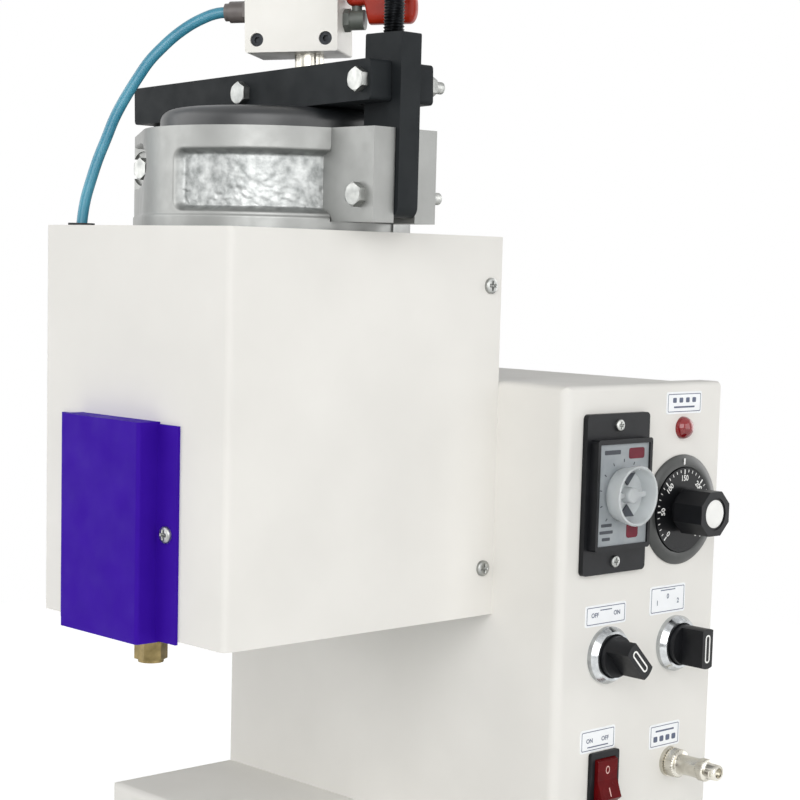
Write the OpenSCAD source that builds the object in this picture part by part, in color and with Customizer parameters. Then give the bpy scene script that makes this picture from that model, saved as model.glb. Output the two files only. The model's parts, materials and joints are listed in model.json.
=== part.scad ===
// Bench hot melt glue unit: a heated pressure pot in a cantilevered head, with a hinged and
// clamped lid, a needle valve over a brass nozzle, and a control cabinet on a sheet base.
// Drawn with the deck (top of the base) at zero height, then set down on its feet.

/* [Base] */
// Height of the folded base tray
base_h = 45; // [30:1:70]
// Reach of the base in front of the cabinet
base_front = 84.5; // [60:0.5:120]
// Radius of the base's bent edges
base_bend = 6; // [5:0.5:9]
// Height of a rubber foot
foot_h = 12; // [6:1:20]
// Diameter of a rubber foot
foot_d = 24; // [16:1:30]
// Foot centre to the edge of the base
foot_inset = 24; // [18:1:40]

/* [Cabinet] */
// Width of the cabinet, left side to control panel
cab_w = 261; // [245:1:300]
// Depth of the cabinet, front to back
cab_d = 122.5; // [121:0.5:150]
// Height of the cabinet above the deck
cab_h = 239; // [237:1:270]
// Radius of the cabinet's upright bends
cab_bend = 5; // [3:0.5:8]
// Radius of the cabinet's top bends
cab_top_bend = 3; // [2.5:0.5:4]
// Width of the folded flanges round the cabinet's openings
flange_w = 14; // [10:1:18]

/* [Head] */
// Distance of the head from the cabinet's left side
head_x = 68.5; // [40:0.5:90]
// Width of the head
head_w = 146; // [142:1:165]
// Reach of the head in front of the cabinet
head_l = 174.5; // [165:0.5:200]
// Height of the head
head_h = 192; // [186:1:230]
// Height of the head's underside above the deck
head_z = 119.5; // [90:0.5:150]
// Radius of the head's upright bends
head_bend = 3; // [2.5:0.5:6]
// Sheet thickness of the casings
sheet_t = 1.5; // [1:0.1:2]
// Plate thickness of the frame that carries the tank
frame_t = 3; // [2.5:0.5:4]
// Radius of the sheet screws
sheet_screw_r = 2; // [1.5:0.25:2.25]
// Distance between the frame's bolts
bolt_apart = 90; // [70:1:100]
// Lower row of the frame's bolts above the head's underside
bolt_low = 26; // [20:1:40]
// Upper row of the frame's bolts above the head's underside
bolt_high = 100; // [80:1:102]

/* [Valve cover] */
// Width of the cover's box
cover_w = 63.5; // [56:0.5:70]
// Height of the cover's box
cover_h = 104; // [100:0.5:110]
// Depth of the cover's box
cover_d = 12.5; // [10:0.5:18]
// Width of the cover's side flanges
cover_flange = 15.5; // [12:0.5:18]
// Middle of the cover's box left of the valve's axis
cover_shift = 8.25; // [4:0.25:12]
// How far the cover hangs below the head
cover_drop = 2.5; // [1:0.5:5]

/* [Tank] */
// Inner radius of the glue pot
pot_r = 42; // [36:0.5:44]
// Wall of the glue pot
pot_wall = 10; // [8:0.5:11]
// Thickness of the pot's heated floor
pot_floor = 22; // [20:1:30]
// Height of the pot's underside above the head's floor plate
pot_lift = 12; // [8:1:20]
// Radius of the casting's rim and foot flange
rim_r = 66; // [62:0.5:67]
// Height of the foot flange that carries the tank
foot_flange_h = 7; // [5:0.5:10]
// Height of the casting above the head
neck_h = 47.5; // [44:0.5:54]
// Height of the rim flange
rim_h = 9; // [7:0.5:12]
// Radius of the neck between the flanges
neck_r = 61; // [58:0.5:62]
// Half length of the casting over its lugs
lug_reach = 92.5; // [90:0.5:98]
// Width over a pair of lugs
lug_w = 40; // [36:1:44]
// Gap between a pair of lugs
lug_gap = 13.5; // [12:0.5:16]
// Radius of the cartridge heaters
heater_r = 6; // [5:0.5:7]
// Radius of the thermostat's bulb
probe_r = 3; // [2:0.5:4]
// Radius of the glue passage to the valve
passage_r = 4; // [3:0.5:4.5]
// Thickness of the wool sleeve
wool_t = 5; // [4:0.5:5.5]
// Room between the wool sleeve and the valve's air cylinder
wool_room = 0.75; // [0.5:0.25:1.5]

/* [Lid clamp] */
// Radius of the lid
lid_r = 58; // [54:0.5:60]
// Thickness of the lid at its edge
lid_edge_h = 5.5; // [4:0.5:5.5]
// Rise of the lid's crown
lid_crown = 1.2; // [0.5:0.1:1.4]
// Thickness of the lid's seal
gasket_t = 1.5; // [1:0.1:2]
// Hinge bolt to the tank's axis
hinge_x = 85; // [82:0.5:87]
// Hinge bolt below the rim
hinge_drop = 16.5; // [14:0.5:18]
// Tilt of the closed arm
arm_tilt = 1.8; // [1.4:0.1:2.2]
// Hinge bolt to the arm's underside
arm_rise = 23; // [22.5:0.1:24.5]
// Thickness of the arm
arm_h = 18.7; // [17:0.1:22]
// Arm's tail behind the hinge bolt
arm_tail = 7; // [5:0.5:9]
// Arm's length in front of the hinge bolt
arm_reach = 175; // [174:0.5:178]
// Radius of the clamp bolts
bolt_r = 3; // [2.5:0.25:3.5]
// Hinge bolt to the bolt that holds the lid, along the arm
lid_bolt_u = 83; // [78:0.5:88]
// Width of the lid's hanging lug
lid_lug_w = 20; // [18:1:22]
// Hinge bolt to the bolt that holds the post, along the arm
post_bolt_u = 168.5; // [167:0.5:169.5]
// Width of the clamp post
post_w = 24.5; // [22:0.5:26]
// Post's top above its bolt
post_top = 22.5; // [20:0.5:28]
// Catch bolt below the rim
catch_drop = 31; // [30:0.5:33]
// Radius of the clamp screw
screw_r = 5; // [4:0.5:5.5]
// Bare length of the clamp screw above the post
screw_rise = 24; // [20:1:40]
// Radius of the clamp screw's hand knob
knob_r = 15; // [12:0.5:16]
// Height of the clamp screw's hand knob
knob_h = 18; // [14:1:24]
// Running clearance of pins and shafts
fit = 0.05; // [0.02:0.01:0.09]
// Free gap between faces that pass each other
gap = 0.4; // [0.3:0.05:0.5]

/* [Air block] */
// Width of the air block
block_w = 46; // [42:0.5:50]
// Depth of the air block
block_d = 29; // [26:0.5:34]
// Height of the air block
block_h = 40; // [36:0.5:48]
// Turn of the block on its nipple
block_yaw = 34; // [20:1:40]
// Nipple to the tank's axis
nipple_x = 24.5; // [22:0.5:30]
// Nipple to the block's middle
nipple_shift = 5.3; // [0:0.1:8]
// Radius of the nipple
nipple_r = 6.5; // [5:0.5:7]
// Bare height of the nipple between arm and block
nipple_rise = 8.7; // [6:0.1:12]
// Height of the hose port above the block's underside
port_z = 21.5; // [16:0.5:24]
// Height of the vent port above the block's underside
vent_z = 16; // [14:0.5:20]
// Radius of the air hose
hose_r = 3; // [2:0.5:4]
// Reach of the hose fitting
fitting_reach = 14; // [11:0.5:15]
// Length of the vent valve's lever
lever_l = 30; // [24:0.5:32]
// Radius of the block's air ways
port_r = 3; // [2:0.5:3.5]
// Radius of the heads of the block's socket screws
block_screw_r = 3.2; // [2.5:0.1:3.5]
// Length of the vent valve's body
vent_l = 10; // [9:0.5:11]
// Radius of the vent valve's body
vent_r = 4.8; // [4:0.1:5]
// Corner radius of the vent valve's hexagon
vent_hex_r = 5.6; // [5.2:0.1:6]
// Vent valve's stem to the block's side
vent_stem = 6; // [5.6:0.1:6.4]

/* [Valve] */
// Valve axis behind the head's front
valve_in = 13.5; // [12:0.5:16]
// Width of the valve block
valve_w = 38; // [34:1:38]
// Height of the valve block
valve_h = 46; // [42:1:50]
// Outer radius of the valve's air cylinder
cyl_r = 16; // [15:0.5:17]
// Height of the valve's air cylinder
cyl_h = 42; // [40:1:44]
// Radius of the piston
piston_r = 12; // [10:0.5:12.5]
// Height of the piston
piston_h = 8; // [6:0.5:10]
// Thickness of the cylinder's floor
cyl_floor = 6; // [5:0.5:8]
// Thickness of the cylinder's cap
cyl_cap = 4; // [3:0.5:6]
// Radius of the needle
needle_r = 2.5; // [2:0.25:3]
// Radius of the nozzle's thread
thread_r = 5; // [4.5:0.25:5.5]
// Length of the nozzle's thread inside the block
thread_l = 8; // [6:0.5:10]
// Width across the flats of the nozzle's hexagon
nozzle_af = 14; // [12:0.5:17]
// Nozzle tip below the head's underside
nozzle_drop = 17; // [14:0.5:24]
// Radius of the glue outlet
outlet_r = 1.5; // [1:0.25:1.75]

/* [Control panel] */
// Left column of controls behind the cabinet's front
col_a = 37; // [36:0.5:38]
// Right column of controls behind the cabinet's front
col_b = 91.5; // [90.5:0.5:93]
// Height of the timer
timer_z = 184.5; // [182:0.5:187]
// Width of the timer's frame
timer_w = 48; // [46:0.5:48]
// Height of the timer's frame
timer_h = 81; // [76:0.5:84]
// Radius of the timer's clear knob
timer_knob_r = 15.5; // [13:0.5:16]
// Depth of the timer's clear knob
timer_knob_d = 10; // [8:0.5:12]
// Width of the timer's face
timer_case_w = 38; // [34:0.5:39]
// Height of the timer's face
timer_case_h = 51; // [46:0.5:54]
// Depth of the timer behind the panel
timer_deep = 60; // [40:1:70]
// Thickness of the timer's frame
timer_t = 3; // [2:0.5:4]
// Rise of the frame's middle round the timer's face
timer_bezel_h = 5; // [3:0.5:7]
// Radius of the timer's shaft
timer_shaft_r = 2.5; // [2:0.25:3]
// Radius of the timer frame's screws
timer_screw_r = 1.5; // [1:0.25:1.75]
// Height of the thermostat
stat_z = 172.5; // [171:0.5:174]
// Radius of the thermostat's bezel
stat_r = 27; // [25:0.5:27]
// Width of the thermostat's ring
stat_ring_w = 6; // [4:0.5:7]
// Thickness of the thermostat's ring
stat_ring_t = 2.5; // [2:0.25:3]
// Radius of the thermostat's shaft
stat_shaft_r = 3; // [2.5:0.25:3.5]
// Radius of the thermostat's bush through the panel
stat_neck_r = 5; // [4.5:0.25:6]
// Height of the thermostat's knob
stat_knob_h = 18; // [14:0.5:20]
// Width across the flats of the thermostat's knob
stat_knob_af = 23; // [20:0.5:26]
// Height of the pilot lamp
lamp_z = 215.5; // [214:0.5:218]
// Radius of the pilot lamp's lens
lamp_r = 5.9; // [5:0.1:7]
// Height of the selector switches
selector_z = 101.5; // [98:0.5:104]
// Radius of a selector's bezel
selector_r = 14.7; // [14:0.1:16]
// Height of a selector's bezel
bezel_h = 5.5; // [4.5:0.5:6.5]
// Radius of a selector's neck through the panel
selector_neck_r = 11; // [10:0.1:11.2]
// Radius of a selector's shaft
selector_shaft_r = 4; // [3:0.25:5]
// Height of the power rocker
rocker_z = 36; // [34:0.5:40]
// Width of the rocker's frame
rocker_w = 22; // [20:0.5:24]
// Height of the rocker's frame
rocker_h = 31; // [29:0.5:34]
// Tilt of the rocker to each side
rocker_tilt = 10; // [8:1:12]
// Height of the foot switch socket
socket_z = 37.5; // [34:0.5:42]
// Radius of the foot switch plug's barrel
plug_r = 5.2; // [5:0.1:5.6]
// Radius of the foot switch socket's thread
socket_neck_r = 6; // [5.8:0.1:7]
// Radius of the plug's cable way
cable_r = 2.5; // [2:0.25:3]
// Reach of the foot switch plug from the panel
plug_reach = 33; // [30:0.5:40]

/* [Rear] */
// Reach of the air inlet from the cabinet's back
inlet_reach = 16; // [12:0.5:20]
// Height of the air inlet
inlet_z = 60; // [50:1:80]
// Distance of the air inlet from the cabinet's left side
inlet_x = 60; // [45:1:75]
// Distance of the mains inlet from the cabinet's left side
mains_x = 150; // [120:1:180]
// Height of the mains inlet
mains_z = 40; // [32:1:50]
// Radius of the air inlet's body
inlet_r = 6; // [5:0.5:7]
// Width of the mains inlet's body
mains_w = 27; // [25:0.5:29]
// Height of the mains inlet's body
mains_h = 20; // [18:0.5:22]

/* [Inside the cabinet] */
// Width of the air valve's body
solenoid_w = 22; // [20:1:24]
// Depth of the air valve's body
solenoid_d = 40; // [36:1:44]
// Height of the air valve's body
solenoid_h = 24; // [20:1:28]
// Height of the air valve's coil
coil_h = 34; // [28:1:38]
// Height of the air valve above the deck
solenoid_z = 130; // [110:1:150]
// Width of the heater relay
relay_w = 45; // [40:1:48]
// Depth of the heater relay
relay_d = 58; // [50:1:60]
// Height of the heater relay
relay_h = 28; // [24:1:32]
// Distance of the relay from the cabinet's left side
relay_x = 40; // [30:1:50]
// Distance of the relay from the cabinet's front
relay_y = 30; // [25:1:40]
// Width of one way of the terminal row
terminal_w = 9; // [8:0.5:10]
// Depth of the terminal row
terminal_d = 22; // [18:1:26]
// Height of the terminal row
terminal_h = 16; // [12:1:20]
// Distance of the terminal row from the cabinet's left side
terminal_x = 105; // [100:1:115]
// Distance of the terminal row from the cabinet's front
terminal_y = 35; // [30:1:45]

/* [Hidden] */
$fn = 64;

// Places shared by the pieces, measured from the cabinet's front left corner at the deck
head_r = head_x + head_w;
head_top = head_z + head_h;
tank_x = head_x + head_w / 2;
rim_top = head_top + neck_h;
frame_w = head_w - 2 * sheet_t - 2 * gap;
pot_out = pot_r + pot_wall;
valve_y = -head_l + valve_in;
tank_y = valve_y + cyl_r + wool_room + wool_t + pot_out;
cover_x = head_w / 2 - cover_shift - cover_w / 2;
pot_z = head_z + frame_t + pot_lift;
pot_cavity_z = pot_z + pot_floor;
hinge_z = rim_top - hinge_drop;
catch_z = rim_top - catch_drop;
arm_mid_v = arm_rise + arm_h / 2;
arm_top_v = arm_rise + arm_h;
// A point of the arm's own frame, hinge bolt at its origin, seen from the tank's axis
function arm_x(u, v) = -hinge_x + u * cos(arm_tilt) - v * sin(arm_tilt);
function arm_z(u, v) = hinge_z + u * sin(arm_tilt) + v * cos(arm_tilt);
post_x = arm_x(post_bolt_u, arm_mid_v);
post_z = arm_z(post_bolt_u, arm_mid_v);
post_t = lug_gap - 2 * gap;
nipple_u = nipple_x + hinge_x;
block_v = arm_top_v + nipple_rise;
lid_z = rim_top + gasket_t + 0.1;
lid_bolt_x = arm_x(lid_bolt_u, arm_mid_v);
lid_bolt_z = arm_z(lid_bolt_u, arm_mid_v);
valve_back = tank_y - pot_out - 4;
valve_front = -head_l - cover_d + sheet_t + 1.5;
valve_z = head_z + frame_t + 2;
valve_top = valve_z + valve_h;
outlet_z = pot_cavity_z + 5;
panel_x = cab_w;
cover_z = head_z - cover_drop;
// Half of the box round the whole unit, so that its middle can be the origin
mid_x = (cab_w + plug_reach) / 2;
mid_y = (cab_d + inlet_reach - head_l - cover_d) / 2;
deck_z = base_h + foot_h;
// Route of the air hose, from the fitting on the lid's block down into the head,
// measured from the tank's axis at the head's top
hose_route = [[-8.5, -20.75, 105.5], [-12.5, -23.25, 105.3], [-16, -26.25, 104.8], [-19.5, -30.25, 103],
    [-24, -36.25, 99], [-28.5, -42.25, 93.5], [-32.5, -47.25, 87.5], [-36.5, -52.25, 80.5],
    [-40.5, -56.75, 71.5], [-44.5, -61.25, 61.5], [-47.5, -64.75, 52.5], [-50, -67.75, 42.5],
    [-52.5, -70.75, 32.5], [-54.5, -73.25, 22.5], [-56, -75.25, 13.5], [-57, -76.25, 5.5],
    [-57.5, -76.75, -2.5], [-57.5, -76.75, -10.5]];
hose_turns = [for (point = hose_route) point + [tank_x, tank_y, head_top]];
hose_end = hose_turns[len(hose_turns) - 1];
// Sizes that follow from the driving ones
base_top_bend = base_bend - 2;
spot_d = 1.5;
screw_sink = 4;
lid_way_r = nipple_r + 1.2;
air_way_r = nipple_r - 2.5;
lever_low = vent_hex_r + gap;
stem_top = lever_low + 6;
vent_stem_r = 2.5;
lever_t = 7.5;
window_side = valve_w / 2 + 2;
nozzle_top = valve_z + thread_l;
piston_z = valve_top + cyl_floor + gap;
timer_face = timer_t + timer_bezel_h - 1;
dial_r = stat_r - stat_ring_w;
dial_low = 0.9;
dial_t = 1.8;
stat_shaft_in = 10;
stat_shaft_out = 4;
lamp_body_r = lamp_r - 1;
selector_neck_h = 1.5;
selector_shaft_in = 7;
rocker_body_w = rocker_w - 3;
rocker_body_h = rocker_h - 3;
rocker_window_w = rocker_body_w - 3;
rocker_half = rocker_body_h / 2 - 1.5;
rocker_pivot = -2;

// Sets the finished unit down with the middle of its footprint at the origin
module stand() {
    translate([-mid_x, -mid_y, deck_z]) children();
}

// Moves to the tank's axis at deck height
module at_tank() {
    translate([tank_x, tank_y, 0]) children();
}

// Moves into the arm's tilted frame, hinge bolt at its origin
module at_arm() {
    translate([tank_x - hinge_x, tank_y, hinge_z]) rotate([0, -arm_tilt, 0]) children();
}

// Moves to the air block's underside on the nipple's axis, with the block's own turn
module at_block() {
    at_arm() translate([nipple_u, 0, block_v]) rotate([0, 0, block_yaw]) translate([-nipple_shift, 0, 0])
        children();
}

// Moves to a control on the panel, with Z pointing out of the panel and Y up
module on_panel(y, z) {
    translate([panel_x, y, z]) rotate([90, 0, 90]) children();
}

// Rectangle from the origin with four round corners
module round_rect(w, h, r) {
    translate([r, 0]) square([w - 2 * r, h]);
    translate([0, r]) square([w, h - 2 * r]);
    for (x = [r, w - r], y = [r, h - r])
        translate([x, y]) circle(r);
}

// Rectangle from the origin with its two upper corners round
module arch_rect(w, h, r) {
    square([w, h - r]);
    translate([r, h - 2 * r]) square([w - 2 * r, 2 * r]);
    for (x = [r, w - r])
        translate([x, h - r]) circle(r);
}

// Round cornered plate centred on the axis, rising from zero
module plate(w, h, r, t) {
    linear_extrude(t) translate([-w / 2, -h / 2]) round_rect(w, h, r);
}

// Sheet box from the origin with upright bends and softer top bends
module soft_box(w, d, h, r_side, r_top) {
    intersection() {
        linear_extrude(h) round_rect(w, d, r_side);
        translate([0, d, 0]) rotate([90, 0, 0]) linear_extrude(d) arch_rect(w, h, r_top);
        rotate([90, 0, 90]) linear_extrude(w) arch_rect(d, h, r_top);
    }
}

// Pan head screw: head above zero, shank below
module pan_screw(r, shank) {
    head_h = 1.1 * r;
    rotate_extrude() {
        square([2 * r - head_h / 2, head_h]);
        square([2 * r, head_h / 2]);
        translate([2 * r - head_h / 2, head_h / 2]) circle(head_h / 2);
    }
    translate([0, 0, -shank]) cylinder(h = shank, r = r);
}

// Hexagon bolt along Z with its nut: head outside zero, nut outside the grip
module hex_bolt(r, grip) {
    across = 3.8 * r;
    head_h = 1.3 * r;
    translate([0, 0, -head_h]) cylinder(h = head_h, d = across, $fn = 6);
    cylinder(h = grip + 4 * r, r = r);
    translate([0, 0, grip]) cylinder(h = 1.6 * r, d = across, $fn = 6);
}

// Tube along a list of points: a ring of the given sides at each point, square to the route
function along(p, i) = p[min(i + 1, len(p) - 1)] - p[max(i - 1, 0)];
function unit(v) = v / norm(v);
function ring(c, dir, r, sides) =
    let (side = unit(cross(dir, abs(dir.z) > 0.9 * norm(dir) ? [1, -1, 0] : [0, 0, 1])),
         up = unit(cross(side, dir)))
    [for (k = [0 : sides - 1]) c + r * (cos(360 * k / sides) * side + sin(360 * k / sides) * up)];
module tube_along(p, r, sides) {
    n = len(p);
    points = [for (i = [0 : n - 1]) each ring(p[i], along(p, i), r, sides)];
    walls = [for (i = [0 : n - 2], k = [0 : sides - 1])
        let (a = i * sides + k, b = i * sides + (k + 1) % sides)
        each [[a, b, b + sides], [a, b + sides, a + sides]]];
    start = [for (k = [sides - 1 : -1 : 0]) k];
    end = [for (k = [0 : sides - 1]) (n - 1) * sides + k];
    polyhedron(points, concat(walls, [start, end]), convexity = 6);
}

// Folded sheet tray that stands upside down, open below, with a lip for the feet
module base_tray() {
    w = cab_w;
    d = base_front + cab_d;
    lip = foot_inset + foot_d / 2;
    color("whitesmoke") translate([0, -base_front, -base_h]) difference() {
        soft_box(w, d, base_h, base_bend, base_top_bend);
        translate([sheet_t, sheet_t, sheet_t])
            soft_box(w - 2 * sheet_t, d - 2 * sheet_t, base_h - 2 * sheet_t, base_bend - sheet_t,
                base_top_bend - sheet_t);
        translate([lip, lip, -1]) cube([w - 2 * lip, d - 2 * lip, sheet_t + 2]);
    }
}

// Four turned rubber feet with a counterbore for their screws
module base_feet() {
    d = base_front + cab_d;
    taper = 2;
    bore_r = foot_d / 5;
    color("dimgray") for (x = [foot_inset, cab_w - foot_inset], y = [foot_inset, d - foot_inset])
        translate([x, y - base_front, -base_h - foot_h]) rotate_extrude() difference() {
            polygon([[0, 0], [foot_d / 2 - taper, 0], [foot_d / 2, foot_h], [0, foot_h]]);
            square([bore_r, foot_h / 2]);
        }
}

// Block inside the cabinet's bends, running on past the open back
module cabinet_block(inset, low) {
    translate([inset, inset, low])
        soft_box(cab_w - 2 * inset, cab_d + 2 * cab_bend, cab_h - inset - low, cab_bend - inset,
            cab_top_bend - inset);
}

// Left side, front and control panel folded from one sheet, with flanges at the top and back
module cabinet_shell() {
    color("whitesmoke") difference() {
        intersection() {
            cabinet_block(0, 0);
            cube([cab_w, cab_d, cab_h]);
        }
        difference() {
            cabinet_block(sheet_t, -1);
            for (x = [0, cab_w - flange_w])
                translate([x, cab_d - 2 * sheet_t, 0]) cube([flange_w, sheet_t, cab_h]);
        }
        translate([flange_w, flange_w, cab_h - 2 * sheet_t])
            cube([cab_w - 2 * flange_w, cab_d - flange_w, 4 * sheet_t]);
        panel_cutouts();
        frame_bolt_places() rotate([-90, 0, 0]) translate([0, 0, -1])
            cylinder(h = sheet_t + 2, r = bolt_r + gap);
        back_screw_places() translate([0, -4 * sheet_t, 0]) rotate([-90, 0, 0])
            cylinder(h = 3 * sheet_t, r = sheet_screw_r + fit);
    }
}

// Openings of the control panel, one for each control
module panel_cutouts() {
    through = sheet_t + 2;
    round_holes = [[col_b, stat_z, stat_neck_r], [col_b, lamp_z, lamp_body_r],
        [col_a, selector_z, selector_neck_r], [col_b, selector_z, selector_neck_r],
        [col_b, socket_z, socket_neck_r]];
    square_holes = [[col_a, timer_z, timer_case_w, timer_case_h],
        [col_a, rocker_z, rocker_body_w, rocker_body_h]];
    for (hole = square_holes)
        translate([panel_x + 1 - through, hole[0] - hole[2] / 2 - gap, hole[1] - hole[3] / 2 - gap])
            cube([through, hole[2] + 2 * gap, hole[3] + 2 * gap]);
    for (hole = round_holes)
        on_panel(hole[0], hole[1]) translate([0, 0, 1 - through]) cylinder(h = through, r = hole[2] + gap);
}

// Plate let in under the top flanges
module cabinet_top() {
    side = cab_top_bend + gap;
    back = cab_d - 2 * sheet_t - gap;
    color("gainsboro") translate([side, side, cab_h - 2 * sheet_t])
        cube([cab_w - 2 * side, back - side, sheet_t]);
}

// Screws that hold the back plate, as places for their heads
module back_screw_places() {
    low = 20;
    high = cab_h - 30;
    for (x = [flange_w / 2, cab_w - flange_w / 2], z = [low, high])
        translate([x, cab_d, z]) children();
}

// Back plate on the rear flanges, with vents and the two inlets' openings
module cabinet_back() {
    side = sheet_t + gap;
    vents = 6;
    vent_w = 26;
    vent_h = 3;
    vent_pitch = 8;
    vent_apart = 12;
    vent_low = cab_h - 70;
    color("whitesmoke") difference() {
        translate([side, cab_d - sheet_t, gap])
            cube([cab_w - 2 * side, sheet_t, cab_h - 2 * sheet_t - 2 * gap]);
        for (k = [0 : vents - 1], side = [-1, 1])
            translate([cab_w / 2 + side * (vent_w + vent_apart) / 2, cab_d + 1, vent_low + vent_pitch * k])
                rotate([90, 0, 0]) plate(vent_w, vent_h, vent_h / 2 - 0.1, sheet_t + 2);
        translate([inlet_x, cab_d + 1, inlet_z]) rotate([90, 0, 0])
            cylinder(h = sheet_t + 2, r = inlet_r + gap);
        translate([mains_x - mains_w / 2 - gap, cab_d - sheet_t - 1, mains_z - mains_h / 2 - gap])
            cube([mains_w + 2 * gap, sheet_t + 2, mains_h + 2 * gap]);
        back_screw_places() rotate([90, 0, 0]) translate([0, 0, -1])
            cylinder(h = sheet_t + 2, r = sheet_screw_r + fit);
    }
}

// Four pan head screws of the back plate
module cabinet_screws() {
    color("silver") back_screw_places() rotate([-90, 0, 0]) pan_screw(sheet_screw_r, 8);
}

// Places of the four bolts that hold the head to the cabinet's front
module frame_bolt_places() {
    for (x = [tank_x - bolt_apart / 2, tank_x + bolt_apart / 2], z = [bolt_low, bolt_high])
        translate([x, 0, head_z + z]) children();
}

// Places of the casing's side screws, two to a side
module head_screw_places() {
    back = 8;
    edge = 24.5;
    for (z = [head_z + edge, head_top - edge]) {
        translate([head_r, -back, z]) rotate([0, 90, 0]) children();
        translate([head_x, -back, z]) rotate([0, -90, 0]) children();
    }
}

// Folded frame inside the head: back on the cabinet, roof that carries the tank, floor
module head_frame() {
    x = tank_x - frame_w / 2;
    depth = head_l - sheet_t - 2 * gap;
    tab = 16;
    color("silver") difference() {
        union() {
            translate([x, -frame_t, head_z]) cube([frame_w, frame_t, head_h]);
            translate([x, -depth, head_z]) cube([frame_w, depth, frame_t]);
            translate([x, -depth, head_top - frame_t]) cube([frame_w, depth, frame_t]);
            for (side = [x, x + frame_w - frame_t])
                translate([side, -tab, head_z]) cube([frame_t, tab, head_h]);
        }
        at_tank() translate([0, 0, head_top - frame_t - 1]) cylinder(h = frame_t + 2, r = pot_out + gap);
        translate([tank_x, valve_y, head_z - 1]) cylinder(h = frame_t + 2, r = nozzle_af);
        translate([tank_x - window_side, -depth - 1, head_z - 1])
            cube([2 * window_side, valve_in - sheet_t, frame_t + 2]);
        frame_bolt_places() rotate([90, 0, 0]) translate([0, 0, -1])
            cylinder(h = frame_t + 2, r = bolt_r + fit);
        head_screw_places() translate([0, 0, -sheet_t - frame_t - 1])
            cylinder(h = frame_t + 1, r = sheet_screw_r + fit);
        translate([hose_end.x, hose_end.y, head_top - frame_t - 1])
            cylinder(h = frame_t + 2, r = hose_r + 2 * gap);
    }
}

// Left side, front and right side of the head from one folded sheet
module head_casing() {
    color("whitesmoke") difference() {
        translate([head_x, -head_l, head_z]) linear_extrude(head_h) difference() {
            round_rect(head_w, head_l + head_bend, head_bend);
            translate([sheet_t, sheet_t])
                round_rect(head_w - 2 * sheet_t, head_l + head_bend, head_bend - sheet_t);
            translate([0, head_l]) square([head_w, 2 * head_bend]);
        }
        translate([tank_x - window_side, -head_l - 1, head_z - 1])
            cube([2 * window_side, sheet_t + 2, valve_top + cyl_h + 2 - head_z]);
        head_screw_places() translate([0, 0, -sheet_t - 1])
            cylinder(h = sheet_t + 2, r = sheet_screw_r + fit);
        cover_screw_places() rotate([90, 0, 0]) translate([0, 0, -sheet_t - 1])
            cylinder(h = sheet_t + 2, r = sheet_screw_r + fit);
    }
}

// Four pan head screws of the casing's sides
module head_screws() {
    color("silver") head_screw_places() pan_screw(sheet_screw_r, 7);
}

// Four hexagon bolts through the frame and the cabinet's front
module frame_bolts() {
    color("silver") frame_bolt_places() translate([0, -frame_t, 0]) rotate([-90, 0, 0])
        hex_bolt(bolt_r, frame_t + sheet_t);
}

// Cast pot hung from its foot flange, with a neck, a rim and two pairs of lugs
module glue_tank() {
    flange_top = head_top + foot_flange_h;
    floor_drop = 4;
    flare = 3;
    color("lightgray") at_tank() difference() {
        union() {
            rotate_extrude() polygon([[0, pot_z], [pot_out, pot_z], [pot_out, head_top], [rim_r, head_top],
                [rim_r, flange_top], [neck_r, flange_top + flare], [neck_r, rim_top - rim_h - flare],
                [rim_r, rim_top - rim_h], [rim_r, rim_top], [0, rim_top]]);
            translate([-lug_reach, -lug_w / 2, flange_top - flare])
                cube([2 * lug_reach, lug_w, rim_top - flange_top + flare]);
            outlet_pad();
        }
        rotate_extrude() polygon([[0, pot_cavity_z - floor_drop], [pot_r, pot_cavity_z],
            [pot_r, rim_top + 1], [0, rim_top + 1]]);
        for (side = [-1, 1])
            translate([side * (rim_r + lug_reach + 1) / 2, 0, head_top + neck_h / 2])
                cube([lug_reach - rim_r + 1, lug_gap, neck_h + 2], center = true);
        for (hole = [[-hinge_x, hinge_z], [post_x, catch_z]])
            translate([hole[0], 0, hole[1]]) rotate([90, 0, 0])
                cylinder(h = lug_w + 2, r = bolt_r + fit, center = true);
        translate([-hinge_x, -lug_w / 2, hinge_z]) rotate([90, 0, 0])
            cylinder(h = 2 * spot_d, r = 3 * bolt_r, center = true);
        translate([0, 0, outlet_z]) rotate([90, 0, 0]) cylinder(h = 2 * pot_out, r = passage_r);
        heater_places() cylinder(h = 2 * pot_out + 2, r = heater_r + fit, center = true);
        translate([0, 0, pot_z + pot_floor / 2]) rotate([0, 90, 0])
            cylinder(h = pot_out + 1, r = probe_r + fit);
    }
}

// Machined pad at the front of the pot that carries the valve block
module outlet_pad() {
    translate([-valve_w / 2, valve_back - tank_y, pot_z]) cube([valve_w, pot_out, valve_top - pot_z]);
}

// Cross places of the two cartridge heaters in the pot's floor
module heater_places() {
    for (side = [-1, 1])
        translate([0, side * pot_out / 2, pot_z + pot_floor / 2]) rotate([0, 90, 0]) children();
}

// Two cartridge heaters with their ceramic ends
module tank_heaters() {
    length = 1.6 * pot_out;
    cap = 6;
    color("gray") at_tank() heater_places() {
        cylinder(h = length, r = heater_r, center = true);
        translate([0, 0, length / 2]) cylinder(h = cap, r = heater_r - 1);
    }
}

// Thermostat bulb in the pot's floor
module heat_probe() {
    length = 48;
    out = 8;
    color("silver") at_tank() translate([pot_out + out - length, 0, pot_z + pot_floor / 2]) rotate([0, 90, 0])
        cylinder(h = length, r = probe_r);
}

// Mineral wool sleeve round the pot
module tank_insulation() {
    end_gap = 3;
    low = valve_top + end_gap;
    high = head_top - frame_t - end_gap;
    color("khaki") at_tank() translate([0, 0, low]) difference() {
        cylinder(h = high - low, r = pot_out + wool_t);
        translate([0, 0, -1]) cylinder(h = high - low + 2, r = pot_out + fit);
    }
}

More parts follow.
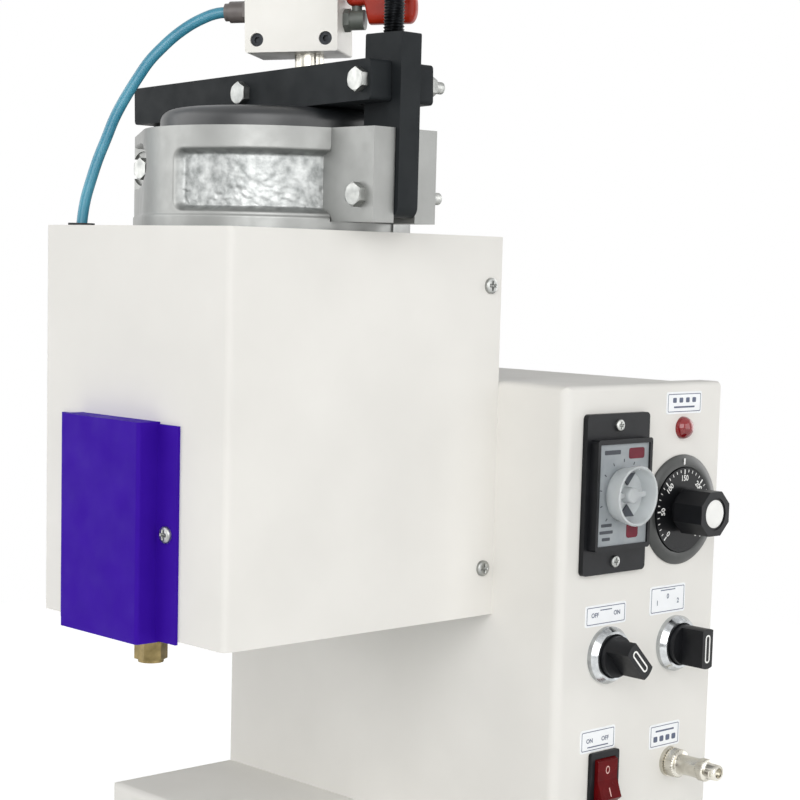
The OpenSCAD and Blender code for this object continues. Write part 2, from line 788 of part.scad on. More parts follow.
// Flat silicone ring on the rim
module lid_gasket() {
    edge = 2;
    color("indianred") at_tank() translate([0, 0, rim_top]) difference() {
        cylinder(h = gasket_t, r = lid_r - edge);
        translate([0, 0, -1]) cylinder(h = gasket_t + 2, r = pot_r + edge);
    }
}

// Bolt through the left lugs that the arm turns on
module hinge_bolt() {
    color("silver") at_tank() translate([-hinge_x, spot_d - lug_w / 2, hinge_z]) rotate([-90, 0, 0])
        hex_bolt(bolt_r, lug_w - spot_d);
}

// Bolt through the right lugs that the post's hook catches
module catch_bolt() {
    color("silver") at_tank() translate([post_x, -lug_w / 2, catch_z]) rotate([-90, 0, 0])
        hex_bolt(bolt_r, lug_w);
}

// Side view of the arm's bar, from its tail to its fork
module arm_bar_outline() {
    corner = 2;
    translate([-arm_tail, arm_rise]) round_rect(arm_tail + arm_reach, arm_h, corner);
}

// Side view of the arm's hinge leg
module arm_leg_outline() {
    circle(3 * bolt_r);
    translate([-3 * bolt_r, 0]) square([6 * bolt_r, arm_mid_v]);
    translate([3 * bolt_r, arm_rise]) difference() {
        translate([-1, -2 * bolt_r]) square([2 * bolt_r + 1, 2 * bolt_r + 1]);
        translate([2 * bolt_r, -2 * bolt_r]) circle(2 * bolt_r);
    }
}

// Black bar over the lid: hinge leg on the left, fork on the right
module clamp_arm() {
    slot_back = post_w / 2 + 4;
    lid_slot = lid_lug_w + 3;
    web = 2.5;
    color("darkslategray") at_arm() difference() {
        union() {
            translate([0, lug_w / 2, 0]) rotate([90, 0, 0]) linear_extrude(lug_w) arm_bar_outline();
            translate([0, post_t / 2, 0]) rotate([90, 0, 0]) linear_extrude(post_t) arm_leg_outline();
        }
        rotate([90, 0, 0]) cylinder(h = 2 * lug_w, r = bolt_r + fit, center = true);
        for (u = [lid_bolt_u, post_bolt_u])
            translate([u, 0, arm_mid_v]) rotate([90, 0, 0])
                cylinder(h = 2 * lug_w, r = bolt_r + fit, center = true);
        translate([post_bolt_u - slot_back, -lug_gap / 2, 0])
            cube([slot_back + arm_reach, lug_gap, 2 * arm_top_v]);
        translate([lid_bolt_u - lid_slot / 2, -lug_gap / 2, 0]) cube([lid_slot, lug_gap, arm_top_v - web]);
        translate([nipple_u, 0, 0]) cylinder(h = 2 * arm_top_v, r = nipple_r + fit);
    }
}

// Bolts across the arm: one holds the lid, one carries the post
module arm_bolts() {
    color("silver") at_arm() for (u = [lid_bolt_u, post_bolt_u])
        translate([u, -lug_w / 2, arm_mid_v]) rotate([-90, 0, 0]) hex_bolt(bolt_r, lug_w);
}

// Turned lid with a rounded edge, a low crown, a hanging lug and the air hole
module lid() {
    edge = lid_edge_h / 2;
    top = lid_edge_h + lid_crown;
    color("darkslategray") at_tank() difference() {
        union() {
            translate([0, 0, lid_z]) rotate_extrude() {
                polygon([[0, 0], [lid_r - edge, 0], [lid_r - edge, lid_edge_h], [lid_r / 3, top], [0, top]]);
                square([lid_r, edge]);
                translate([lid_r - edge, edge]) circle(edge);
            }
            translate([lid_bolt_x - lid_lug_w / 2, -post_t / 2, lid_z + 1])
                cube([lid_lug_w, post_t, lid_bolt_z - lid_z + 2 * bolt_r - 1]);
        }
        translate([lid_bolt_x, 0, lid_bolt_z]) rotate([90, 0, 0])
            cylinder(h = 2 * lug_w, r = bolt_r + fit, center = true);
        translate([nipple_x, 0, lid_z - 1]) cylinder(h = top + 2, r = lid_way_r);
    }
}

// Hanging post: slot for the arm's bolt, threaded top for the clamp screw, hook at the foot
module clamp_post() {
    toe_play = 0.5;
    toe_h = 6.5;
    throat_w = 4.4;
    throat_h = 4;
    toe_top = catch_z - bolt_r - toe_play;
    toe_bottom = toe_top - toe_h;
    throat_top = catch_z + bolt_r + throat_h;
    right = post_w / 2;
    corner = 5;
    top = post_z + post_top;
    hole_r = bolt_r + fit;
    color("darkslategray") at_tank() translate([post_x, post_t / 2, 0]) difference() {
        rotate([90, 0, 0]) linear_extrude(post_t) difference() {
            translate([-right, toe_bottom]) round_rect(post_w, top - toe_bottom, 1);
            translate([-right - 1, toe_bottom - 1])
                square([right + 1 + bolt_r + toe_play, throat_top + 2 - toe_bottom]);
            translate([0, toe_top]) square([bolt_r + throat_w, throat_top - toe_top]);
            translate([right - corner, toe_bottom]) difference() {
                translate([0, -1]) square([corner + 1, corner + 1]);
                translate([0, corner]) circle(corner);
            }
            translate([0, post_z]) circle(hole_r);
            translate([-hole_r, post_z - bolt_r]) square([2 * hole_r, bolt_r]);
            translate([0, post_z - bolt_r]) circle(hole_r);
        }
        translate([0, -post_t / 2, post_z]) cylinder(h = post_top + 1, r = screw_r + fit);
    }
}

// Threaded rod of the clamp, its tip just above the arm's bolt
module clamp_screw() {
    color("black") at_tank() translate([post_x, 0, post_z + bolt_r + gap])
        cylinder(h = post_top - bolt_r - gap + screw_rise + knob_h / 2, r = screw_r);
}

// Lobed hand knob on the clamp screw
module clamp_knob() {
    lobes = 6;
    lobe_r = 5;
    rim = 3;
    base = post_z + post_top + screw_rise;
    color("black") at_tank() translate([post_x, 0, base]) difference() {
        union() {
            cylinder(h = knob_h, r = knob_r - 2);
            translate([0, 0, rim]) for (k = [0 : lobes - 1])
                rotate([0, 0, 360 * k / lobes]) translate([knob_r - lobe_r, 0, 0])
                    cylinder(h = knob_h - 2 * rim, r = lobe_r);
        }
        translate([0, 0, -1]) cylinder(h = knob_h / 2 + 1, r = screw_r);
    }
}

// White manifold block with its ports and counterbored screws
module air_block() {
    corner = 1;
    color("white") at_block() difference() {
        translate([-block_w / 2, block_d / 2, 0]) rotate([90, 0, 0]) linear_extrude(block_d)
            round_rect(block_w, block_h, corner);
        translate([-block_w / 2 - 1, 0, port_z]) rotate([0, 90, 0])
            cylinder(h = block_w / 2 + nipple_shift + 1, r = port_r);
        translate([nipple_shift, 0, vent_z]) rotate([0, 90, 0]) cylinder(h = block_w, r = port_r);
        translate([nipple_shift, 0, -1]) cylinder(h = port_z + 1, r = air_way_r);
        block_screw_places() translate([0, 0, -1]) cylinder(h = screw_sink + 1, r = block_screw_r + fit);
    }
}

// Places of the block's socket screws, mouth of the counterbore at the front face
module block_screw_places() {
    inset = 6;
    for (x = [inset - block_w / 2, block_w / 2 - inset], z = [inset, block_h - inset])
        translate([x, -block_d / 2, z]) rotate([-90, 0, 0]) children();
}

// Four black socket screws let into the block's face
module block_screws() {
    head_h = 3;
    socket_r = block_screw_r / 2;
    color("black") at_block() block_screw_places() translate([0, 0, screw_sink - head_h]) difference() {
        cylinder(h = head_h, r = block_screw_r);
        translate([0, 0, -1]) cylinder(h = head_h / 2 + 1, r = socket_r, $fn = 6);
    }
}

// Nipple from the block down through the arm into the lid
module air_nipple() {
    low = lid_edge_h + lid_crown + 1;
    collar_r = nipple_r + 0.6;
    color("silver") at_arm() translate([nipple_u, 0, 0]) difference() {
        union() {
            translate([0, 0, arm_rise - low]) cylinder(h = arm_h + low, r = nipple_r);
            translate([0, 0, arm_top_v]) cylinder(h = nipple_rise, r = collar_r);
        }
        cylinder(h = 2 * arm_top_v, r = air_way_r);
    }
}

// Push-in fitting at the block's left, with its release collar
module hose_fitting() {
    hex_r = 6.2;
    hex_h = 4;
    body_r = 5.2;
    collar_r = 4.3;
    collar_h = 2.5;
    wall = 2;
    color("rosybrown") at_block() translate([-block_w / 2, 0, port_z]) rotate([0, -90, 0]) difference() {
        union() {
            cylinder(h = hex_h, r = hex_r, $fn = 6);
            cylinder(h = fitting_reach - collar_h, r = body_r);
            cylinder(h = fitting_reach, r = collar_r);
        }
        translate([0, 0, wall]) cylinder(h = fitting_reach, r = hose_r + gap);
        translate([0, 0, -1]) cylinder(h = wall + 2, r = port_r / 2);
    }
}

// Small vent valve at the block's right: hexagon, body and stem
module vent_valve() {
    hex_h = 3;
    color("darkseagreen") at_block() translate([block_w / 2, 0, vent_z]) {
        rotate([0, 90, 0]) cylinder(h = hex_h, r = vent_hex_r, $fn = 6);
        rotate([0, 90, 0]) cylinder(h = vent_l, r = vent_r);
        translate([vent_stem, 0, 0]) cylinder(h = stem_top, r = vent_stem_r);
    }
}

// Red lever on the vent valve's stem, its blade hanging past the body's end
module vent_lever() {
    blade_x = vent_l - vent_stem + 3.5;
    width = 10;
    color("orangered") at_block() translate([block_w / 2 + vent_stem, 0, vent_z]) difference() {
        union() {
            translate([0, width / 2, 0]) rotate([90, 0, 0]) linear_extrude(width) lever_outline(blade_x);
            translate([0, 0, lever_low]) cylinder(h = lever_t, r = width / 2);
        }
        cylinder(h = stem_top + gap, r = vent_stem_r + fit);
    }
}

// Side view of the lever: a flat hub over the body, then a deeper grip
module lever_outline(blade_x) {
    hang = 2.5;
    corner = 2.5;
    translate([0, lever_low]) square([lever_l - 2 * corner, lever_t]);
    translate([blade_x, -hang]) round_rect(lever_l - blade_x, lever_low + lever_t + hang, corner);
}

// Air hose from the lid's block to the head
module air_hose() {
    color("steelblue") tube_along(hose_turns, hose_r, 10);
}

// Flat grommet where the hose goes into the head
module hose_grommet() {
    lip = 3.5;
    lip_h = 1.2;
    color("black") translate([hose_end.x, hose_end.y, head_top]) difference() {
        cylinder(h = lip_h, r = hose_r + lip);
        translate([0, 0, -1]) cylinder(h = lip_h + 2, r = hose_r + gap);
    }
}

// Heated aluminium block on the pot's pad, with glue passage and needle bore
module valve_block() {
    color("silver") difference() {
        translate([tank_x - valve_w / 2, valve_front, valve_z])
            cube([valve_w, valve_back - valve_front, valve_h]);
        translate([tank_x, valve_y, valve_z - 1]) cylinder(h = valve_h + 2, r = thread_r);
        translate([tank_x, valve_back + 1, outlet_z]) rotate([90, 0, 0])
            cylinder(h = valve_back - valve_y + 1, r = passage_r);
    }
}

// Air cylinder over the valve block
module valve_cylinder() {
    air_way = 2;
    air_z = cyl_floor + air_way;
    color("silver") translate([tank_x, valve_y, valve_top]) difference() {
        cylinder(h = cyl_h, r = cyl_r);
        translate([0, 0, cyl_floor]) cylinder(h = cyl_h - cyl_floor - cyl_cap, r = piston_r + fit);
        translate([0, 0, -1]) cylinder(h = cyl_floor + 2, r = needle_r + fit);
        translate([0, 0, air_z]) rotate([0, 90, 0]) cylinder(h = cyl_r + 1, r = air_way);
    }
}

// Piston with the needle that shuts the nozzle
module valve_needle() {
    tip = nozzle_top + gap;
    color("silver") translate([tank_x, valve_y, 0]) {
        translate([0, 0, piston_z]) cylinder(h = piston_h, r = piston_r);
        translate([0, 0, tip]) cylinder(h = piston_z + 1 - tip, r = needle_r);
    }
}

// Spring that holds the needle down
module valve_spring() {
    wire = 0.8;
    turns = 5;
    per_turn = 16;
    steps = turns * per_turn;
    mean_r = piston_r - 3;
    low = piston_z + piston_h + wire + fit;
    high = valve_top + cyl_h - cyl_cap - wire - fit;
    coil = [for (k = [0 : steps])
        [tank_x + mean_r * cos(360 * k / per_turn), valve_y + mean_r * sin(360 * k / per_turn),
            low + k / steps * (high - low)]];
    color("gray") tube_along(coil, wire, 6);
}

// Brass nozzle: thread in the block, hexagon and tip below the head
module nozzle() {
    tip_z = head_z - nozzle_drop;
    hex_h = 9;
    chamfer = 1.5;
    color("goldenrod") translate([tank_x, valve_y, 0]) difference() {
        union() {
            translate([0, 0, tip_z + chamfer]) cylinder(h = hex_h, d = 2 * nozzle_af / sqrt(3), $fn = 6);
            translate([0, 0, tip_z]) cylinder(h = hex_h, r = nozzle_af / 2 - chamfer / 2);
            translate([0, 0, tip_z]) cylinder(h = nozzle_top - tip_z, r = thread_r - fit);
        }
        translate([0, 0, tip_z - 1]) cylinder(h = nozzle_top - tip_z + 2, r = outlet_r);
    }
}

// Places of the valve cover's screws, on its two flanges
module cover_screw_places() {
    for (x = [cover_x - cover_flange / 2, cover_x + cover_w + cover_flange / 2])
        translate([head_x + x, -head_l, cover_z + cover_h / 2]) children();
}

// Blue sheet cover over the valve: a shallow box with a flange at each side
module valve_cover() {
    bend = 1.8;
    step = 1;
    color("darkslateblue") translate([head_x + cover_x, -head_l, cover_z]) difference() {
        union() {
            translate([0, -cover_d, 0]) soft_front_box(cover_w, cover_d, cover_h, bend);
            translate([-cover_flange, -sheet_t, step])
                cube([cover_w + 2 * cover_flange, sheet_t, cover_h - 2 * step]);
        }
        translate([sheet_t, sheet_t - cover_d, sheet_t])
            cube([cover_w - 2 * sheet_t, cover_d, cover_h - 2 * sheet_t]);
        for (x = [-cover_flange / 2, cover_w + cover_flange / 2])
            translate([x, 1, cover_h / 2]) rotate([90, 0, 0])
                cylinder(h = sheet_t + 2, r = sheet_screw_r + fit);
    }
}

// Box from the origin whose front upright edges are bent round
module soft_front_box(w, d, h, r) {
    linear_extrude(h) {
        translate([r, 0]) square([w - 2 * r, d]);
        translate([0, r]) square([w, d - r]);
        for (x = [r, w - r])
            translate([x, r]) circle(r);
    }
}

// Two pan head screws of the valve cover
module cover_screws() {
    color("silver") cover_screw_places() translate([0, -sheet_t, 0]) rotate([90, 0, 0])
        pan_screw(sheet_screw_r, 5);
}

// Black flush frame of the timer with its raised middle
module timer_frame() {
    rim_x = 2;
    rim_y = 2.5;
    raised = timer_t + timer_bezel_h;
    color("black") on_panel(col_a, timer_z) difference() {
        union() {
            plate(timer_w, timer_h, 2.5, timer_t);
            plate(timer_case_w + 2 * rim_x, timer_case_h + 2 * rim_y, 1.5, raised);
        }
        translate([-timer_case_w / 2 - fit, -timer_case_h / 2 - fit, -1])
            cube([timer_case_w + 2 * fit, timer_case_h + 2 * fit, raised + 2]);
        timer_screw_places() translate([0, 0, -timer_t - 1])
            cylinder(h = timer_t + 2, r = timer_screw_r + fit);
    }
}

// Places of the timer frame's two screws
module timer_screw_places() {
    edge = 6;
    for (side = [-1, 1])
        translate([0, side * (timer_h / 2 - edge), timer_t]) children();
}

// Two small pan head screws of the timer's frame
module timer_screws() {
    color("silver") on_panel(col_a, timer_z) timer_screw_places() pan_screw(timer_screw_r, timer_t);
}

// Timer with its grey face just inside the frame
module timer_case() {
    socket = 4;
    color("lightsteelblue") on_panel(col_a, timer_z) difference() {
        translate([-timer_case_w / 2, -timer_case_h / 2, -timer_deep])
            cube([timer_case_w, timer_case_h, timer_deep + timer_face]);
        translate([0, 0, timer_face - socket]) cylinder(h = socket + 1, r = timer_shaft_r + fit);
    }
}

// Clear cup shaped setting knob with a pointer bar and shaft
module timer_knob() {
    low = timer_face + gap;
    wall = 1.2;
    floor_t = 1.5;
    hub_r = 4;
    hub_h = timer_knob_d - 3;
    bar_w = 3;
    bar_h = 5;
    bar_l = 2 * timer_knob_r - 4;
    shaft_in = 3.5;
    color("white") on_panel(col_a, timer_z) {
        translate([0, 0, low]) rotate_extrude() {
            square([timer_knob_r - wall, floor_t]);
            polygon([[timer_knob_r - 2 * wall, 0], [timer_knob_r - wall, 0], [timer_knob_r, timer_knob_d],
                [timer_knob_r - wall, timer_knob_d]]);
            square([hub_r, hub_h]);
        }
        translate([-bar_w / 2, -bar_l / 2, low]) cube([bar_w, bar_l, bar_h]);
        translate([0, 0, timer_face - shaft_in]) cylinder(h = shaft_in + floor_t, r = timer_shaft_r);
    }
}

// Grey ring round the thermostat's dial
module stat_bezel() {
    bevel = 1.5;
    color("dimgray") on_panel(col_b, stat_z) rotate_extrude()
        polygon([[dial_r + gap, 0], [stat_r, 0], [stat_r, stat_ring_t - bevel], [stat_r - bevel, stat_ring_t],
            [dial_r + gap, stat_ring_t]]);
}

// Thermostat behind the panel with its shaft bush
module stat_case() {
    width = 36;
    deep = 28;
    bush = 0.5;
    color("gray") on_panel(col_b, stat_z) difference() {
        union() {
            translate([-width / 2, -width / 2, -sheet_t - deep]) cube([width, width, deep]);
            translate([0, 0, -sheet_t]) cylinder(h = sheet_t + bush, r = stat_neck_r);
        }
        translate([0, 0, -stat_shaft_in - 2]) cylinder(h = stat_shaft_in + 4, r = stat_shaft_r + fit);
    }
}

// Black dial that turns in the ring, with the shaft
module stat_dial() {
    color("black") on_panel(col_b, stat_z) {
        translate([0, 0, dial_low]) cylinder(h = dial_t, r = dial_r);
        translate([0, 0, -stat_shaft_in]) cylinder(h = stat_shaft_in + stat_shaft_out, r = stat_shaft_r);
    }
}

// Eight sided thermostat knob with a round skirt and a white cap seat
module stat_knob() {
    facets = 8;
    half = 180 / facets;
    across = stat_knob_af / cos(half);
    low = dial_low + dial_t;
    skirt_h = 3;
    seat = 0.5;
    top = low + skirt_h + stat_knob_h;
    color("black") on_panel(col_b, stat_z) difference() {
        union() {
            translate([0, 0, low]) cylinder(h = skirt_h, r = stat_knob_af / 2 - 2);
            translate([0, 0, low + skirt_h]) rotate([0, 0, half])
                cylinder(h = stat_knob_h, d = across, $fn = facets);
        }
        cylinder(h = stat_shaft_out + fit, r = stat_shaft_r);
        translate([0, 0, top - seat]) cylinder(h = 1, r = stat_knob_af / 2 - 3);
    }
}

// Red domed lens with its lamp holder through the panel
module pilot_lamp() {
    deep = 22;
    color("firebrick") on_panel(col_b, lamp_z) {
        rotate_extrude() intersection() {
            circle(lamp_r);
            square(lamp_r);
        }
        translate([0, 0, -deep]) cylinder(h = deep, r = lamp_body_r);
    }
}

// Bright turned bezels of the two selectors
module selector_bezels() {
    inner = selector_neck_r + gap;
    bevel = 2;
    color("silver") for (y = [col_a, col_b])
        on_panel(y, selector_z) rotate_extrude()
            polygon([[inner, 0], [selector_r, 0], [selector_r, bezel_h - 1.5 * bevel],
                [selector_r - bevel, bezel_h], [inner, bezel_h]]);
}

// Contact blocks of the two selectors with their necks through the panel
module selector_blocks() {
    width = 30;
    deep = 35;
    color("gray") for (y = [col_a, col_b])
        on_panel(y, selector_z) difference() {
            union() {
                translate([-width / 2, -width / 2, -sheet_t - deep]) cube([width, width, deep]);
                translate([0, 0, -sheet_t]) cylinder(h = sheet_t + selector_neck_h, r = selector_neck_r);
            }
            translate([0, 0, -selector_shaft_in - 1])
                cylinder(h = selector_shaft_in + selector_neck_h + 2, r = selector_shaft_r + fit);
        }
}

// Pointer knob of a selector: round skirt, waisted grip, shaft
module selector_knob(turn) {
    skirt_r = selector_neck_r - gap;
    skirt_h = 6.5;
    grip_w = 8.5;
    grip_h = 14;
    low = selector_neck_h + gap;
    rotate([0, 0, turn]) {
        translate([0, 0, low]) cylinder(h = skirt_h, r = skirt_r);
        translate([0, 0, low + skirt_h]) intersection() {
            translate([-grip_w / 2, -skirt_r, 0]) cube([grip_w, 2 * skirt_r, grip_h]);
            cylinder(h = grip_h, r = skirt_r);
        }
        translate([0, 0, -selector_shaft_in]) cylinder(h = selector_shaft_in + low + 1, r = selector_shaft_r);
    }
}

// Left selector, turned to its left place
module selector_left() {
    color("black") on_panel(col_a, selector_z) selector_knob(45);
}

// Right selector, upright in its middle place
module selector_right() {
    color("black") on_panel(col_b, selector_z) selector_knob(0);
}

// Black frame of the power rocker with its body through the panel
module rocker_frame() {
    deep = 24;
    rim = 2;
    corner = 1.5;
    color("black") on_panel(col_a, rocker_z) difference() {
        union() {
            plate(rocker_w, rocker_h, corner, rim);
            translate([-rocker_body_w / 2, -rocker_body_h / 2, -deep])
                cube([rocker_body_w, rocker_body_h, deep + rim / 2]);
        }
        translate([-rocker_window_w / 2, 0, rocker_pivot]) rotate([0, 90, 0])
            cylinder(h = rocker_window_w, r = rocker_half + gap);
    }
}

// Red rocker tilted to its off side, turning between the frame's cheeks
module power_rocker() {
    width = rocker_window_w - 2 * gap;
    edge = rocker_half + 1;
    ridge = 6;
    rise = 2.4;
    under = 4;
    color("red") on_panel(col_a, rocker_z) translate([-width / 2, 0, rocker_pivot])
        rotate([-rocker_tilt, 0, 0]) rotate([90, 0, 90]) linear_extrude(width) intersection() {
            circle(rocker_half);
            polygon([[-edge, -under], [edge, -under], [edge, ridge + rise], [0, ridge],
                [-edge, ridge + rise]]);
        }
}

// Socket of the foot switch: flange, thread through the panel and nut behind
module foot_socket() {
    flange_h = 2;
    flange = 2;
    nut = 3;
    deep = 14;
    out = 5;
    color("silver") on_panel(col_b, socket_z) difference() {
        union() {
            cylinder(h = flange_h, r = socket_neck_r + flange);
            translate([0, 0, -deep]) cylinder(h = deep + out, r = socket_neck_r);
            translate([0, 0, -sheet_t - nut]) cylinder(h = nut, r = socket_neck_r + nut, $fn = 6);
        }
        cylinder(h = out + 1, r = plug_r - 1);
    }
}

// Foot switch plug on the socket: coupling nut, barrel, cable clamp
module foot_plug() {
    low = 2.1;
    nut_h = 6;
    nut_wall = 1.6;
    seat = 5;
    ring_z = plug_reach - 11;
    ring_h = 4;
    clamp_z = plug_reach - 7.5;
    bar = 3.6;
    bar_z = plug_reach - 5;
    cable_in = 12;
    color("silver") on_panel(col_b, socket_z) difference() {
        union() {
            translate([0, 0, low]) cylinder(h = nut_h, r = socket_neck_r + nut_wall);
            translate([0, 0, low + nut_h - 0.5]) cylinder(h = clamp_z - low - nut_h + 1, r = plug_r);
            translate([0, 0, ring_z]) cylinder(h = ring_h, r = plug_r + 0.8);
            translate([0, 0, clamp_z]) cylinder(h = plug_reach - clamp_z, r = plug_r - 0.9);
            translate([-plug_r, -bar / 2, bar_z]) cube([2 * plug_r, bar, bar]);
        }
        translate([0, 0, low - 1]) cylinder(h = seat - low + 1 + gap, r = socket_neck_r + fit);
        translate([0, 0, plug_reach - cable_in]) cylinder(h = cable_in + 1, r = cable_r);
    }
}

// Push-in air inlet through the back plate
module air_inlet() {
    deep = 14;
    nut_h = 4;
    nut = 3.5;
    hex_h = 5;
    collar_h = 3;
    color("silver") translate([inlet_x, cab_d, inlet_z]) rotate([-90, 0, 0]) difference() {
        union() {
            translate([0, 0, -deep]) cylinder(h = deep, r = inlet_r);
            translate([0, 0, -sheet_t - nut_h]) cylinder(h = nut_h, r = inlet_r + nut, $fn = 6);
            cylinder(h = hex_h, r = inlet_r + nut, $fn = 6);
            cylinder(h = inlet_reach - collar_h, r = inlet_r);
            cylinder(h = inlet_reach, r = inlet_r - 1);
        }
        translate([0, 0, inlet_reach - deep]) cylinder(h = deep + 1, r = hose_r + fit);
    }
}

// Mains appliance inlet with its well and three blades
module mains_inlet() {
    ear = 11;
    rim = 2;
    deep = 22;
    well = 16;
    wall = 2;
    blade_l = 13;
    blade_apart = 7;
    earth_up = 3;
    color("black") translate([mains_x, cab_d, mains_z]) rotate([90, 0, 180]) {
        difference() {
            union() {
                plate(mains_w + 2 * ear, mains_h + 2 * rim, 3, rim);
                translate([-mains_w / 2, -mains_h / 2, -deep]) cube([mains_w, mains_h, deep]);
            }
            translate([-mains_w / 2 + wall, -mains_h / 2 + wall, -well])
                cube([mains_w - 2 * wall, mains_h - 2 * wall, well + 2 * rim]);
        }
        for (k = [-1 : 1])
            translate([k * blade_apart - 1, -2 + earth_up * (1 - abs(k)), -well - 1]) cube([2, 4, blade_l]);
    }
}

// Air valve that works the needle, on the cabinet's front wall
module solenoid_valve() {
    coil_in = solenoid_w / 11;
    coil_d = solenoid_d - 7 * coil_in;
    port_h = solenoid_d / 7;
    color("dimgray") translate([inlet_x - solenoid_w, sheet_t, solenoid_z]) {
        cube([solenoid_w, solenoid_d, solenoid_h]);
        translate([coil_in, 2 * coil_in, solenoid_h]) cube([solenoid_w - 2 * coil_in, coil_d, coil_h]);
        translate([solenoid_w / 2, solenoid_d, solenoid_h / 2]) rotate([-90, 0, 0])
            cylinder(h = port_h, r = solenoid_w / 4);
    }
}

// Relay that switches the heaters, on the deck
module heater_relay() {
    edge = relay_w / 15;
    base_t = 2 * edge;
    color("lightgray") translate([relay_x, relay_y, 0]) {
        cube([relay_w, relay_d, base_t]);
        translate([edge, edge, base_t]) cube([relay_w - 2 * edge, relay_d - 2 * edge, relay_h - base_t]);
    }
}

// Row of screw terminals on the deck
module terminal_block() {
    ways = 8;
    well = terminal_h / 2;
    color("ivory") translate([terminal_x, terminal_y, 0]) difference() {
        cube([ways * terminal_w, terminal_d, terminal_h]);
        for (k = [0 : ways - 1])
            translate([terminal_w * (k + 0.5), terminal_d / 2, terminal_h - well])
                cylinder(h = well + 1, r = terminal_w / 3);
    }
}

stand() base_tray();
stand() base_feet();
stand() cabinet_shell();
stand() cabinet_top();
stand() cabinet_back();
stand() cabinet_screws();
stand() head_frame();
stand() head_casing();
stand() head_screws();
stand() frame_bolts();
stand() glue_tank();
stand() tank_heaters();
stand() heat_probe();
stand() tank_insulation();
stand() lid_gasket();
stand() hinge_bolt();
stand() catch_bolt();
stand() clamp_arm();
stand() arm_bolts();
stand() lid();
stand() clamp_post();
stand() clamp_screw();
stand() clamp_knob();
stand() air_block();
stand() block_screws();
stand() air_nipple();
stand() hose_fitting();
stand() vent_valve();
stand() vent_lever();
stand() air_hose();
stand() hose_grommet();
stand() valve_block();
stand() valve_cylinder();
stand() valve_needle();
stand() valve_spring();
stand() nozzle();
stand() valve_cover();
stand() cover_screws();
stand() timer_frame();
stand() timer_case();
stand() timer_knob();
stand() timer_screws();
stand() stat_bezel();
stand() stat_case();
stand() stat_dial();
stand() stat_knob();
stand() pilot_lamp();
stand() selector_bezels();
stand() selector_blocks();
stand() selector_left();
stand() selector_right();
stand() rocker_frame();
stand() power_rocker();
stand() foot_socket();
stand() foot_plug();
stand() air_inlet();
stand() mains_inlet();
stand() solenoid_valve();
stand() heater_relay();
stand() terminal_block();
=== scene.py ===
"""Dresses the bench hot melt glue unit: finishes for every solid, the cast neck's skin, the lid,
lever, bolts, hose, thread, spring and screw heads, the panel's marks and label plates, and the
camera and studio light. Named lengths are in millimetres unless a comment says otherwise."""
import json
import math

import bpy
import numpy as np
from mathutils import Matrix, Vector


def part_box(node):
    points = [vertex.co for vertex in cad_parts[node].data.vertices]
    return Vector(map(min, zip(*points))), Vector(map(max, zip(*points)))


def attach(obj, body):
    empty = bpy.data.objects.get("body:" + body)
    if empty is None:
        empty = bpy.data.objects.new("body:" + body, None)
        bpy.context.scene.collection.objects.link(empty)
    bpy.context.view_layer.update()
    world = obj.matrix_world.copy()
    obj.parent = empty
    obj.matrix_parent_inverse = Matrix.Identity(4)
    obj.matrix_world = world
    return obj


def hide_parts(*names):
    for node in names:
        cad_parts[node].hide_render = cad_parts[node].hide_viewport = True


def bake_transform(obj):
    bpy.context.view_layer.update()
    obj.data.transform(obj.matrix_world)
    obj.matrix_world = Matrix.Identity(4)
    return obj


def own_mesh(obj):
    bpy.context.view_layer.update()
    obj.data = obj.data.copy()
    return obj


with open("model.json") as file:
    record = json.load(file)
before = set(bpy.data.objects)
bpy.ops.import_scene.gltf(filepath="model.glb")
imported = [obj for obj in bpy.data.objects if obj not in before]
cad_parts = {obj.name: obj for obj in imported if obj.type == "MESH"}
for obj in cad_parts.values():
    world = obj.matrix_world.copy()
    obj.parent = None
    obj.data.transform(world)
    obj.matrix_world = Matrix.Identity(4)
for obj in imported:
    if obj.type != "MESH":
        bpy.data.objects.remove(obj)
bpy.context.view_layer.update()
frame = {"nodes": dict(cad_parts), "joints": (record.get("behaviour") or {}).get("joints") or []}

NODES = frame["nodes"]
JOINTS = {joint["name"]: joint for joint in frame["joints"]}
MM = 0.001
AXIS_R = 0.01  # how close a turned profile comes to its axis


# Camera at the photograph's viewing angle, with its place and clipping in metres

CAMERA_PLACE = (0.7525, -0.69415, 0.3534)
CAMERA_AZIMUTH = math.radians(46.441)
CAMERA_ELEVATION = math.radians(6.275)
CAMERA_ROLL = math.radians(1.473)
LENS = 88.144
SENSOR = 36
SHIFT_UP = 0.1
CLIP_NEAR, CLIP_FAR = 0.01, 50


def make_camera():
    """Camera whose axes follow from azimuth, elevation and roll: back points at the viewer,
    right lies level, and both turn about back by the roll."""
    back = Vector((math.sin(CAMERA_AZIMUTH) * math.cos(CAMERA_ELEVATION),
                   -math.cos(CAMERA_AZIMUTH) * math.cos(CAMERA_ELEVATION),
                   math.sin(CAMERA_ELEVATION)))
    right = Vector((math.cos(CAMERA_AZIMUTH), math.sin(CAMERA_AZIMUTH), 0))
    up = back.cross(right)
    turned_right = math.cos(CAMERA_ROLL) * right + math.sin(CAMERA_ROLL) * up
    turned_up = math.cos(CAMERA_ROLL) * up - math.sin(CAMERA_ROLL) * right
    data = bpy.data.cameras.new("camera")
    data.lens = LENS
    data.sensor_width = SENSOR
    data.shift_y = SHIFT_UP
    data.clip_start = CLIP_NEAR
    data.clip_end = CLIP_FAR
    camera = bpy.data.objects.new("camera", data)
    pose = Matrix((turned_right, turned_up, back)).transposed().to_4x4()
    pose.translation = Vector(CAMERA_PLACE)
    camera.matrix_world = pose
    bpy.context.scene.collection.objects.link(camera)
    bpy.context.scene.camera = camera


# Colours, nodes and materials

NOISE_LOW, NOISE_HIGH = 0.3, 0.7  # the part of a noise's range that most of it fills


